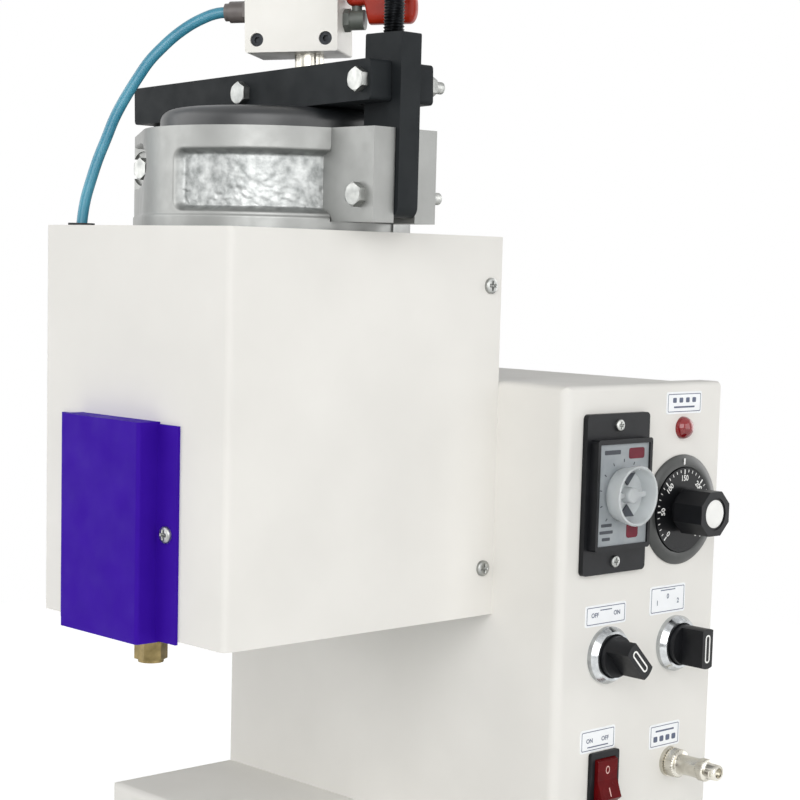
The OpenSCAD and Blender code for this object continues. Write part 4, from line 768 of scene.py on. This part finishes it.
BOLT_R = 3
BOLT_HEAD, BOLT_NUT = 1.3 * BOLT_R, 1.6 * BOLT_R
BOLT_CORNER = 1.9 * BOLT_R
BOLT_PAST = 4 * BOLT_R  # length from the nut's seat to the shank's end
BOLT_PITCH, BOLT_THREAD = 1, 0.35
BOLT_STEP = 0.25
BOLT_SLACK = 0.02
BOLT_POINT_IN, BOLT_POINT_LONG = 0.9, 0.6
TO_FRONT = ((1, 0, 0), (0, 0, 1), (0, -1, 0))
TO_BACK = ((1, 0, 0), (0, 0, -1), (0, 1, 0))


def make_bolts(node, body):
    """Hexagon bolts along y in place of a group's plain ones: head, threaded shank and nut. The
    thread is a triangle wave of the shank's radius."""
    grids = []
    for x, first, last, z in bolts_of(node):
        seat = first + BOLT_HEAD
        length = last - seat
        height = np.linspace(0, length - BOLT_POINT_LONG, int(length / BOLT_STEP))
        wave = np.abs(height / BOLT_PITCH % 1 - 0.5) * 2
        thread = np.stack([BOLT_R - BOLT_SLACK - BOLT_THREAD * wave, height], axis=-1)
        shank = np.concatenate([thread, [(BOLT_R - BOLT_POINT_IN, length), (AXIS_R, length)]])
        for grid, y, axes in ((hex_head(BOLT_CORNER, BOLT_HEAD), seat, TO_FRONT),
                              (hex_head(BOLT_CORNER, BOLT_NUT), last - BOLT_PAST, TO_BACK),
                              (turned(shank, 32), seat, TO_BACK)):
            grids.append(place(grid, (x * MM, y * MM, z * MM), *axes))
    made = join(node + "_hex", grids, ZINC, 25)
    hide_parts(node)
    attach(made, body)


# Valve spring

SPRING_WIRE = 0.8
SPRING_TURNS = 5


def make_spring():
    """Valve spring: a circle of the wire's radius carried round an even helix."""
    low, high = box_mm("valve_spring")
    centre, mean = (low + high) / 2, (high[0] - low[0]) / 2 - SPRING_WIRE
    share, around = np.meshgrid(np.linspace(0, 1, 240), all_round(16), indexing="ij")
    rise = low[2] + SPRING_WIRE + share * (high[2] - low[2] - 2 * SPRING_WIRE)
    grid = polar(mean + SPRING_WIRE * np.cos(around), 2 * math.pi * SPRING_TURNS * share,
                 rise - SPRING_WIRE * np.sin(around)) + (centre[0], centre[1], 0)
    made = surface("valve_coil", grid * MM, BRIGHT)
    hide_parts("valve_spring")
    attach(made, "unit")
    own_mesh(made)


# Pan heads with a cross recess

SCREW_HIGH = 0.55  # share of the head's radius, as the next two are
CROSS_HALF = 0.13
CROSS_REACH = 0.62
RIM_SHARE = 0.55  # share of the head's height, as the next one is
CROSS_DEPTH = 0.75
SCREWS_APART = 0.014  # in metres


def cross_head(radius, height):
    """Pan head on a polar grid: a dome that falls off near its rim, sunk by a short slope
    where the point lies on either bar of a cross."""
    share = np.concatenate([np.linspace(0.03, 1, 22), [1.0]])
    grid = polar(radius * share[:, None], all_round(64), 0.0)
    x, y = grid[..., 0], grid[..., 1]
    dome = RIM_SHARE + (1 - RIM_SHARE) * np.sqrt(np.clip(1 - share ** 3, 0, 1))
    bar = np.minimum(np.abs(x), np.abs(y)) / (CROSS_HALF * radius)
    reach = np.hypot(x, y) / (CROSS_REACH * radius)
    dip = CROSS_DEPTH * np.clip(1.6 - bar, 0, 1) * np.clip(4 * (1 - reach), 0, 1)
    grid[..., 2] = height * (dome[:, None] - dip)
    grid[-1, :, 2] = 0
    return grid[::-1]


def solids_of(node):
    """Boxes of a group's separate solids, by splitting its points where they lie far apart."""
    points, groups = points_of(node), []
    while len(points):
        near = np.linalg.norm(points - points[0], axis=1) < SCREWS_APART
        groups.append((points[near].min(axis=0), points[near].max(axis=0)))
        points = points[~near]
    return groups


def make_screws(node, axis, away_from=None):
    """Cross-recess heads in place of a group's plain ones. Each faces along the axis, or along
    whichever end of it leads away from a point."""
    grids = []
    for low, high in solids_of(node):
        way = np.array(axis, dtype=float)
        if away_from is not None:
            way *= np.sign((low - away_from) @ way)
        k = int(np.argmax(np.abs(way)))
        across = [i for i in range(3) if i != k]
        radius = (high[across[0]] - low[across[0]]) / 2 / MM
        seat = (low + high) / 2
        face = high[k] if way[k] > 0 else low[k]
        height = SCREW_HIGH * radius
        seat[k] = face - way[k] * height * MM
        turned_axis = np.roll(way, 1)
        third = np.cross(way, turned_axis)
        grids.append(place(cross_head(radius, height), seat, turned_axis, third, way))
    made = join(node + "_cross", grids, ZINC, 50)
    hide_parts(node)
    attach(made, "unit")


def make_all_screws():
    """Casing, cover, timer and back plate screws."""
    make_screws("head_screws", (1, 0, 0), middle("head_casing"))
    make_screws("cover_screws", (0, -1, 0))
    make_screws("timer_screws", (1, 0, 0))
    make_screws("cabinet_screws", (0, 1, 0))


# Label plates and printed marks

# Each plate's place back from the cabinet's front and up from the deck, its width and its height
LABELS = {"lamp_label": (91.75, 228.6, 29, 11.5), "selector_left_label": (35.2, 122.5, 31.5, 11),
          "selector_right_label": (84.5, 125.5, 29, 15), "rocker_label": (32.5, 58, 27, 12),
          "plug_label": (86.5, 52.5, 25, 13)}
FRONT_Y = 24.25  # the cabinet's front in the frame
DECK_Z = 57  # the deck's height in the frame
PLATE_OUT, BORDER_OUT, BARS_OUT, MARKS_OUT = 0.35, 0.38, 0.3, 0.42
PLATE_CORNER, PLATE_EDGE = 1.2, 0.1
BORDER_LINES = ((2, 0.8), (2.8, 0.6))  # how much each is smaller than the plate, and its corner


def label_centre(name):
    """Centre of a label plate, in metres."""
    y, z = LABELS[name][:2]
    return 0, (y + FRONT_Y) * MM, (z + DECK_Z) * MM


def make_labels():
    """White laminate plates on the panel, each with a thin printed border."""
    for name, (_, _, width, height) in LABELS.items():
        centre = label_centre(name)
        flat = slab(rounded(width, height, PLATE_CORNER), 0, PLATE_OUT, PLATE_EDGE)
        plate = surface(name, on_panel(flat, centre, PANEL), LABEL_WHITE)
        band = stacked([(rounded(width - less, height - less, corner), BORDER_OUT)
                        for less, corner in BORDER_LINES])
        border = surface(name + "_border", on_panel(band, centre, PANEL), LABEL_BLUE, caps=False)
        for made, slot in ((plate, "white_block"), (border, "blue_paint")):
            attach(made, "unit")


LABEL_MARKS = {
    "selector_left_label": [("OFF", 3.2, -8.5, 0.2, 0), ("ON", 3.2, 8.5, 0.2, 0)],
    "selector_right_label": [("1", 3.6, -8.5, -1.5, 0), ("0", 3.6, 0, 1.5, 0),
                             ("2", 3.6, 8.5, -1.5, 0)],
    "rocker_label": [("ON", 3.2, -6.5, 0, 0), ("OFF", 3.2, 5.5, 0, 0)],
}
LABEL_BARS = {
    "lamp_label": [*((x, 1.4, 3, 2.6, 0) for x in (-8, -2.7, 2.7, 8)), (0, -2.2, 17, 0.9, 0)],
    "selector_left_label": [(0, 2.6, 9, 0.5, 0)],
    "selector_right_label": [(0, 5, 12, 0.5, 0)],
    "rocker_label": [(0, -3.2, 16, 0.6, 0)],
    "plug_label": [*((x, -1.6, 3.2, 3, 0) for x in (-7.5, -2.5, 2.5, 7.5)), (0, 2.6, 15, 0.9, 0)],
}


def make_label_marks():
    """Switch positions and plain bars printed on the label plates."""
    for name, places in LABEL_BARS.items():
        centre = label_centre(name)
        bars(name + "_bars", places, LABEL_BLUE, centre, PANEL + BARS_OUT * MM,
             "unit")
        if name in LABEL_MARKS:
            words(name + "_marks", LABEL_MARKS[name], LABEL_BLUE, centre, PANEL + MARKS_OUT * MM,
                  "unit")


BAR_LOW, BAR_HIGH = -0.05, 0.12
BAR_CORNER = 0.2  # share of a bar's lesser side
WORD_BOLD = 0.022  # share of a word's size


def bars(name, places, material, centre, out, body):
    """Thin printed bars on the panel: rectangles with round corners, turned and raised a little.
    Each is (x, y, width, height, turn in degrees)."""
    grids = []
    for x, y, width, height, turn in places:
        outline = rounded(width, height, min(width, height) * BAR_CORNER, 3) @ spin(turn)
        grids.append(on_panel(slab(outline + (x, y), BAR_LOW, BAR_HIGH), centre, out))
    made = join(name, grids, material)
    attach(made, body)


def words(name, marks, material, centre, out, body):
    """Flat printed words on the panel: each is (text, size, x, y, turn in degrees)."""
    points, faces, base = [], [], 0
    for mark in marks:
        spot, shape = word(*mark)
        points.append(spot)
        faces += [[i + base for i in face] for face in shape]
        base += len(spot)
    made = piece(name, on_panel(np.concatenate(points), centre, out), faces, material)
    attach(made, body)


def word(text, size_mm, x, y, turn):
    """Points and faces of one flat word or number, centred at (x, y) and turned."""
    curve = bpy.data.curves.new("word", "FONT")
    curve.body = text
    curve.size = size_mm
    curve.offset = WORD_BOLD * size_mm
    curve.align_x = "CENTER"
    curve.align_y = "CENTER"
    holder = bpy.data.objects.new("word", curve)
    bpy.context.scene.collection.objects.link(holder)
    bpy.context.view_layer.update()
    ready = holder.evaluated_get(bpy.context.evaluated_depsgraph_get())
    mesh = bpy.data.meshes.new_from_object(ready)
    points = np.empty(len(mesh.vertices) * 3)
    mesh.vertices.foreach_get("co", points)
    faces = [list(polygon.vertices) for polygon in mesh.polygons]
    bpy.data.objects.remove(holder)
    bpy.data.curves.remove(curve)
    bpy.data.meshes.remove(mesh)
    points = points.reshape(-1, 3)
    points[:, :2] = points[:, :2] @ spin(turn) + (x, y)
    return points, faces


DIAL_R = 22.4
DIAL_REACH = DIAL_R - 0.2
RING_PROFILE = [(AXIS_R, 0), (28.8, 0), (29, 0.6), (28.3, 1.4), (23.4, 2.5), (22.7, 2.2), (22.7, 1),
                (AXIS_R, 1)]
FACE_PROFILE = [(AXIS_R, 1.1), (DIAL_REACH, 1.1), (DIAL_R, 1.4), (DIAL_REACH, 2.75), (AXIS_R, 2.75)]
PRINT_OUT = 0.28
TICK_ANGLES = range(225, -46, -9)
TICK_INSET = 0.9
LONG_TICK, SHORT_TICK = (2.6, 0.7), (1.5, 0.4)
TICKS_PER_NUMBER = 5
NUMBER_STEP, NUMBER_SIZE, NUMBER_INSET = 50, 4.1, 5.6
NUMBER_OUT = 0.1
DIAL_POINTER = (0, DIAL_REACH + 3.2, 1.2, 3.4, 0)
POINTER_OUT = -0.2


def make_dial_ring():
    """Thermostat's ring, turned from a profile with a chamfered rim and a sloping face, and the
    dial's face that turns inside it."""
    ring = surface("dial_ring", on_panel(turned(RING_PROFILE, 96), middle("stat_bezel"), PANEL),
                   RING_GREY)
    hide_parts("stat_bezel")
    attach(ring, "unit")
    face = surface("dial_face", on_panel(turned(FACE_PROFILE, 96), middle("stat_dial"), PANEL),
                   DIAL_BLACK)
    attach(face, "stat_dial")


def make_dial():
    """Ticks round the thermostat's dial, longer at the numbers, numbers that face outwards, and the
    pointer on the ring."""
    centre, face = middle("stat_dial"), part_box("stat_bezel")[1][0]
    out = face + PRINT_OUT * MM
    ticks = []
    for k, angle in enumerate(TICK_ANGLES):
        length, width = SHORT_TICK if k % TICKS_PER_NUMBER else LONG_TICK
        ticks.append((*ray(DIAL_REACH - TICK_INSET - length / 2, angle), length, width, angle))
    bars("dial_ticks", ticks, PRINT_WHITE, centre, out, "stat_dial")
    radius = DIAL_REACH - NUMBER_INSET
    numbers = [(str(NUMBER_STEP * k), NUMBER_SIZE, *ray(radius, angle), angle - 90)
               for k, angle in enumerate(TICK_ANGLES[::TICKS_PER_NUMBER])]
    words("dial_numbers", numbers, PRINT_WHITE, centre, out + NUMBER_OUT * MM,
          "stat_dial")
    bars("dial_pointer", [DIAL_POINTER], PRINT_WHITE, middle("stat_bezel"),
         face + POINTER_OUT * MM, "unit")


CAP_PROFILE = [(AXIS_R, -0.5), (7.4, -0.5), (7.3, 0.1), (6.6, 0.5), (4, 0.8), (AXIS_R, 0.9)]
CAP_SINK = 0.5


def make_knob_cap():
    """White cap let into the thermostat knob, turned: a shallow dome with a bevelled rim."""
    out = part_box("stat_knob")[1][0] - CAP_SINK * MM
    cap = surface("stat_knob_cap", on_panel(turned(CAP_PROFILE), middle("stat_knob"), out),
                  PRINT_WHITE)
    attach(cap, "stat_dial")


TIMER_DARK = [(-9, 21.5, 12, 2.2, 0), (-12, -15, 8, 1.6, 0), (-12, -18.5, 10, 1.6, 0),
              (-12, -22, 6, 1.6, 0)]
TIMER_WINDOWS = [(9.5, 20.5, 12, 5.5, 0), (8, -18.5, 9, 8, 0)]
TIMER_TICK_R = 17.2
TIMER_TICK = (1.6, 0.5)


def make_timer_print():
    """Printed face of the timer: dark header, red windows and a ring of ticks round the knob."""
    centre = middle("timer_frame")
    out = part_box("timer_case")[1][0]
    bars("timer_dark_marks", TIMER_DARK, PRINT_DARK, centre, out, "unit")
    bars("timer_red_windows", TIMER_WINDOWS, PRINT_RED, centre, out, "unit")
    ticks = [(*ray(TIMER_TICK_R, angle), *TIMER_TICK, angle) for angle in range(-45, 226, 27)]
    bars("timer_ticks", ticks, PRINT_DARK, centre, out, "unit")


CUP_HIGH = 10
CUP_PROFILE = [(AXIS_R, 0), (13, 0), (13.8, 0.5), (15.3, 9.2), (15.1, 9.8), (14.6, CUP_HIGH),
               (13.9, 9.8), (13.5, 9.2), (12.2, 1.8), (AXIS_R, 1.5)]
HUB_PROFILE = [(AXIS_R, -3.4), (2.4, -3.4), (2.4, 1.2), (4.3, 1.2), (4.1, 6.4), (3.5, 7),
               (AXIS_R, 7)]
CUP_BAR = (25, 2.6, 0.8)  # its length, width and corner
CUP_BAR_HEIGHTS = (1.3, 4.6, 0.4)  # its foot, its top and the edge drawn in
WEDGE = np.array([(0, 4.8), (5.6, 11), (-5.6, 11)])
WEDGE_HEIGHTS = (1.7, 2.6)


def make_timer_knob():
    """Clear cup of the timer, turned: a flared wall with a round lip, a hub with its shaft and a
    bar across, and two dark wedges on the cup's floor above and below the hub."""
    centre, back = middle("timer_knob"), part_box("timer_knob")[1][0] - CUP_HIGH * MM
    grids = [turned(CUP_PROFILE, 96), turned(HUB_PROFILE),
             slab(rounded(*CUP_BAR), *CUP_BAR_HEIGHTS)]
    made = join("timer_cup", [on_panel(grid, centre, back) for grid in grids], CLEAR, 30)
    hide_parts("timer_knob")
    wedges = [on_panel(slab(side * WEDGE, *WEDGE_HEIGHTS), centre, back) for side in (1, -1)]
    marks = join("timer_wedges", wedges, PRINT_DARK)
    for part in (made, marks):
        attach(part, "timer_knob")


# Each point's last number says whether it is knurled
PLUG_PROFILE = [(AXIS_R, 2.1, 0), (7, 2.1, 0), (7.6, 2.7, 1), (7.6, 7.3, 1), (7, 8, 0),
                (5.6, 8.3, 0), (5.2, 9.2, 0), (5.2, 20.5, 0), (5.5, 21.2, 0), (6, 21.8, 1),
                (6, 25.6, 1), (5.4, 26.2, 0), (4.6, 26.6, 0), (4.3, 27.2, 0), (4.3, 32.4, 0),
                (3.9, 33, 0), (2.7, 33, 0), (2.6, 32.4, 0), (2.6, 22, 0), (AXIS_R, 22, 0)]
KNURLS, KNURL_DEPTH = 32, 0.32
PLUG_CLAMP = (11.6, 3.6, 1.2)  # its length, width and corner
PLUG_CLAMP_HEIGHTS = (27.6, 31, 0.5)  # its foot, its top and the edge drawn in


def make_plug():
    """Foot switch plug: a turned profile whose nut and ring are knurled by a cosine of the angle,
    with the cable clamp's bar across its end."""
    centre, angle = middle("foot_plug"), all_round(6 * KNURLS)
    radius, height, knurl = np.array(PLUG_PROFILE).T[..., None]
    wavy = radius - KNURL_DEPTH * knurl * (0.5 - 0.5 * np.cos(KNURLS * angle))
    clamp = slab(rounded(*PLUG_CLAMP), *PLUG_CLAMP_HEIGHTS)
    grids = [on_panel(grid, centre, PANEL) for grid in (polar(wavy, angle, height), clamp)]
    made = join("plug_barrel", grids, NICKEL, 35)
    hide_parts("foot_plug")
    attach(made, "unit")


ROCKER_OUT = 3.96
ROCKER_BEND, ROCKER_SLOPE = 1.04, 0.365  # height where the halves meet, and the lower one's slope
RING_WIDE, RING_TALL, RING_UP = 1.5, 2.1, 6.2
RING_INNER = 0.72
I_HALF, I_LOW, I_HIGH = 0.35, -7.2, -2.9


def make_rocker_marks():
    """O and I on the rocker: a flat ring on its upper half, which lies level with the panel, and a
    bar on its lower half, which slopes out by twenty degrees."""
    centre = middle("rocker_frame")
    round_line = polar(1.0, all_round(40), 0.0)[:, :2]
    ring = stacked([(round_line * (RING_WIDE * size, RING_TALL * size) + (0, RING_UP), ROCKER_OUT)
                    for size in (1.0, RING_INNER)])
    bar = np.array([[[x, y, 0] for x in (-I_HALF, I_HALF)] for y in (I_LOW, I_HIGH)])
    bar[..., 2] = ROCKER_OUT + (ROCKER_BEND - bar[..., 1]) * ROCKER_SLOPE
    for name, grid, wrap in (("rocker_o", ring, True), ("rocker_i", bar, False)):
        mark = surface(name, on_panel(grid, centre, PANEL), PRINT_PALE, wrap=wrap, caps=False)
        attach(mark, "rocker")


LOOP_LINES = ((4, 15), (2.2, 13.2))
LOOP_OUT = 0.08
LOOP_FLAT = 0.01  # by how much a loop's corners stay under half its width
LOOP_TURNS = {"selector_left": 45, "selector_right": 0}


def make_pointers():
    """White loops along the selectors' grips, which turn with them: the band between two long
    round-ended outlines."""
    for name, turn in LOOP_TURNS.items():
        loop = stacked([(rounded(wide, tall, wide / 2 - LOOP_FLAT) @ spin(turn), LOOP_OUT)
                        for wide, tall in LOOP_LINES])
        mark = surface(name + "_line", on_panel(loop, middle(name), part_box(name)[1][0]),
                       PRINT_WHITE, caps=False)
        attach(mark, name)


# Studio, in metres and watts

FLOOR_HALF = 0.95
FLOOR_GLOW = 0.58
SOFT_WORLD = 0.18
LAMP_AIM = (0, 0, 0.25)
LAMPS = [("key", (1.05, -1.6, 1.0), 1.6, 24.5), ("left_fill", (-1.5, -1.5, 0.8), 2.2, 23),
         ("right_fill", (2.1, 0.2, 0.8), 2.0, 22), ("back_fill", (0.5, 2.3, 0.65), 2.0, 22)]


def make_studio():
    """Pale floor, soft lamps and a white surround that camera, mirror and glass rays see."""
    ends = (-FLOOR_HALF, FLOOR_HALF)
    flat = np.array([[[x, y, 0] for x in ends] for y in ends])
    material, tree, shader, _ = start("studio_floor", "#F4F4F2", Roughness=0.9,
                                      Specular_IOR_Level=0.0)
    shader.inputs["Emission Color"].default_value = (1, 1, 1, 1)
    rays = add(tree, "ShaderNodeLightPath")
    seen = add(tree, "ShaderNodeMath", {"operation": "MAXIMUM"},
               {0: (rays, "Is Camera Ray"), 1: (rays, "Is Glossy Ray")})
    glow = add(tree, "ShaderNodeMath", {"operation": "MULTIPLY", 1: FLOOR_GLOW},
               {0: (seen, "Value")})
    tree.links.new(glow.outputs["Value"], shader.inputs["Emission Strength"])
    floor = surface("floor", flat, material, wrap=False, caps=False)
    world = bpy.data.worlds.new("studio")
    bpy.context.scene.world = world
    world.use_nodes = True
    tree = world.node_tree
    tree.nodes.clear()
    rays = add(tree, "ShaderNodeLightPath")
    direct = add(tree, "ShaderNodeMath", {"operation": "MAXIMUM"},
                 {0: (rays, "Is Camera Ray"), 1: (rays, "Is Transmission Ray")})
    seen = add(tree, "ShaderNodeMath", {"operation": "MAXIMUM"},
               {0: (direct, "Value"), 1: (rays, "Is Glossy Ray")})
    soft = add(tree, "ShaderNodeBackground",
               {"Color": (0.96, 0.98, 1.0, 1), "Strength": SOFT_WORLD})
    white = add(tree, "ShaderNodeBackground", {"Color": (1, 1, 1, 1), "Strength": 1.0})
    mixed = add(tree, "ShaderNodeMixShader", None,
                {0: (seen, "Value"), 1: (soft, "Background"), 2: (white, "Background")})
    add(tree, "ShaderNodeOutputWorld", None, {"Surface": (mixed, "Shader")})
    for name, spot, size, power in LAMPS:
        light = bpy.data.lights.new(name, "AREA")
        light.size = size
        light.energy = power
        lamp = bpy.data.objects.new(name, light)
        lamp.location = spot
        lamp.rotation_euler = (Vector(spot) - Vector(LAMP_AIM)).to_track_quat("Z", "Y").to_euler()
        bpy.context.scene.collection.objects.link(lamp)
    bpy.context.scene.view_settings.view_transform = "Standard"


make_camera()
make_hose()
finish_solids()
make_neck()
make_lid()
make_lever()
make_thread()
for bolted, carrier in (("hinge_bolt", "unit"), ("catch_bolt", "unit"), ("arm_bolts", "lid_arm")):
    make_bolts(bolted, carrier)
make_spring()
make_all_screws()
make_labels()
make_label_marks()
make_dial_ring()
make_dial()
make_knob_cap()
make_timer_print()
make_timer_knob()
make_plug()
make_rocker_marks()
make_pointers()
make_studio()
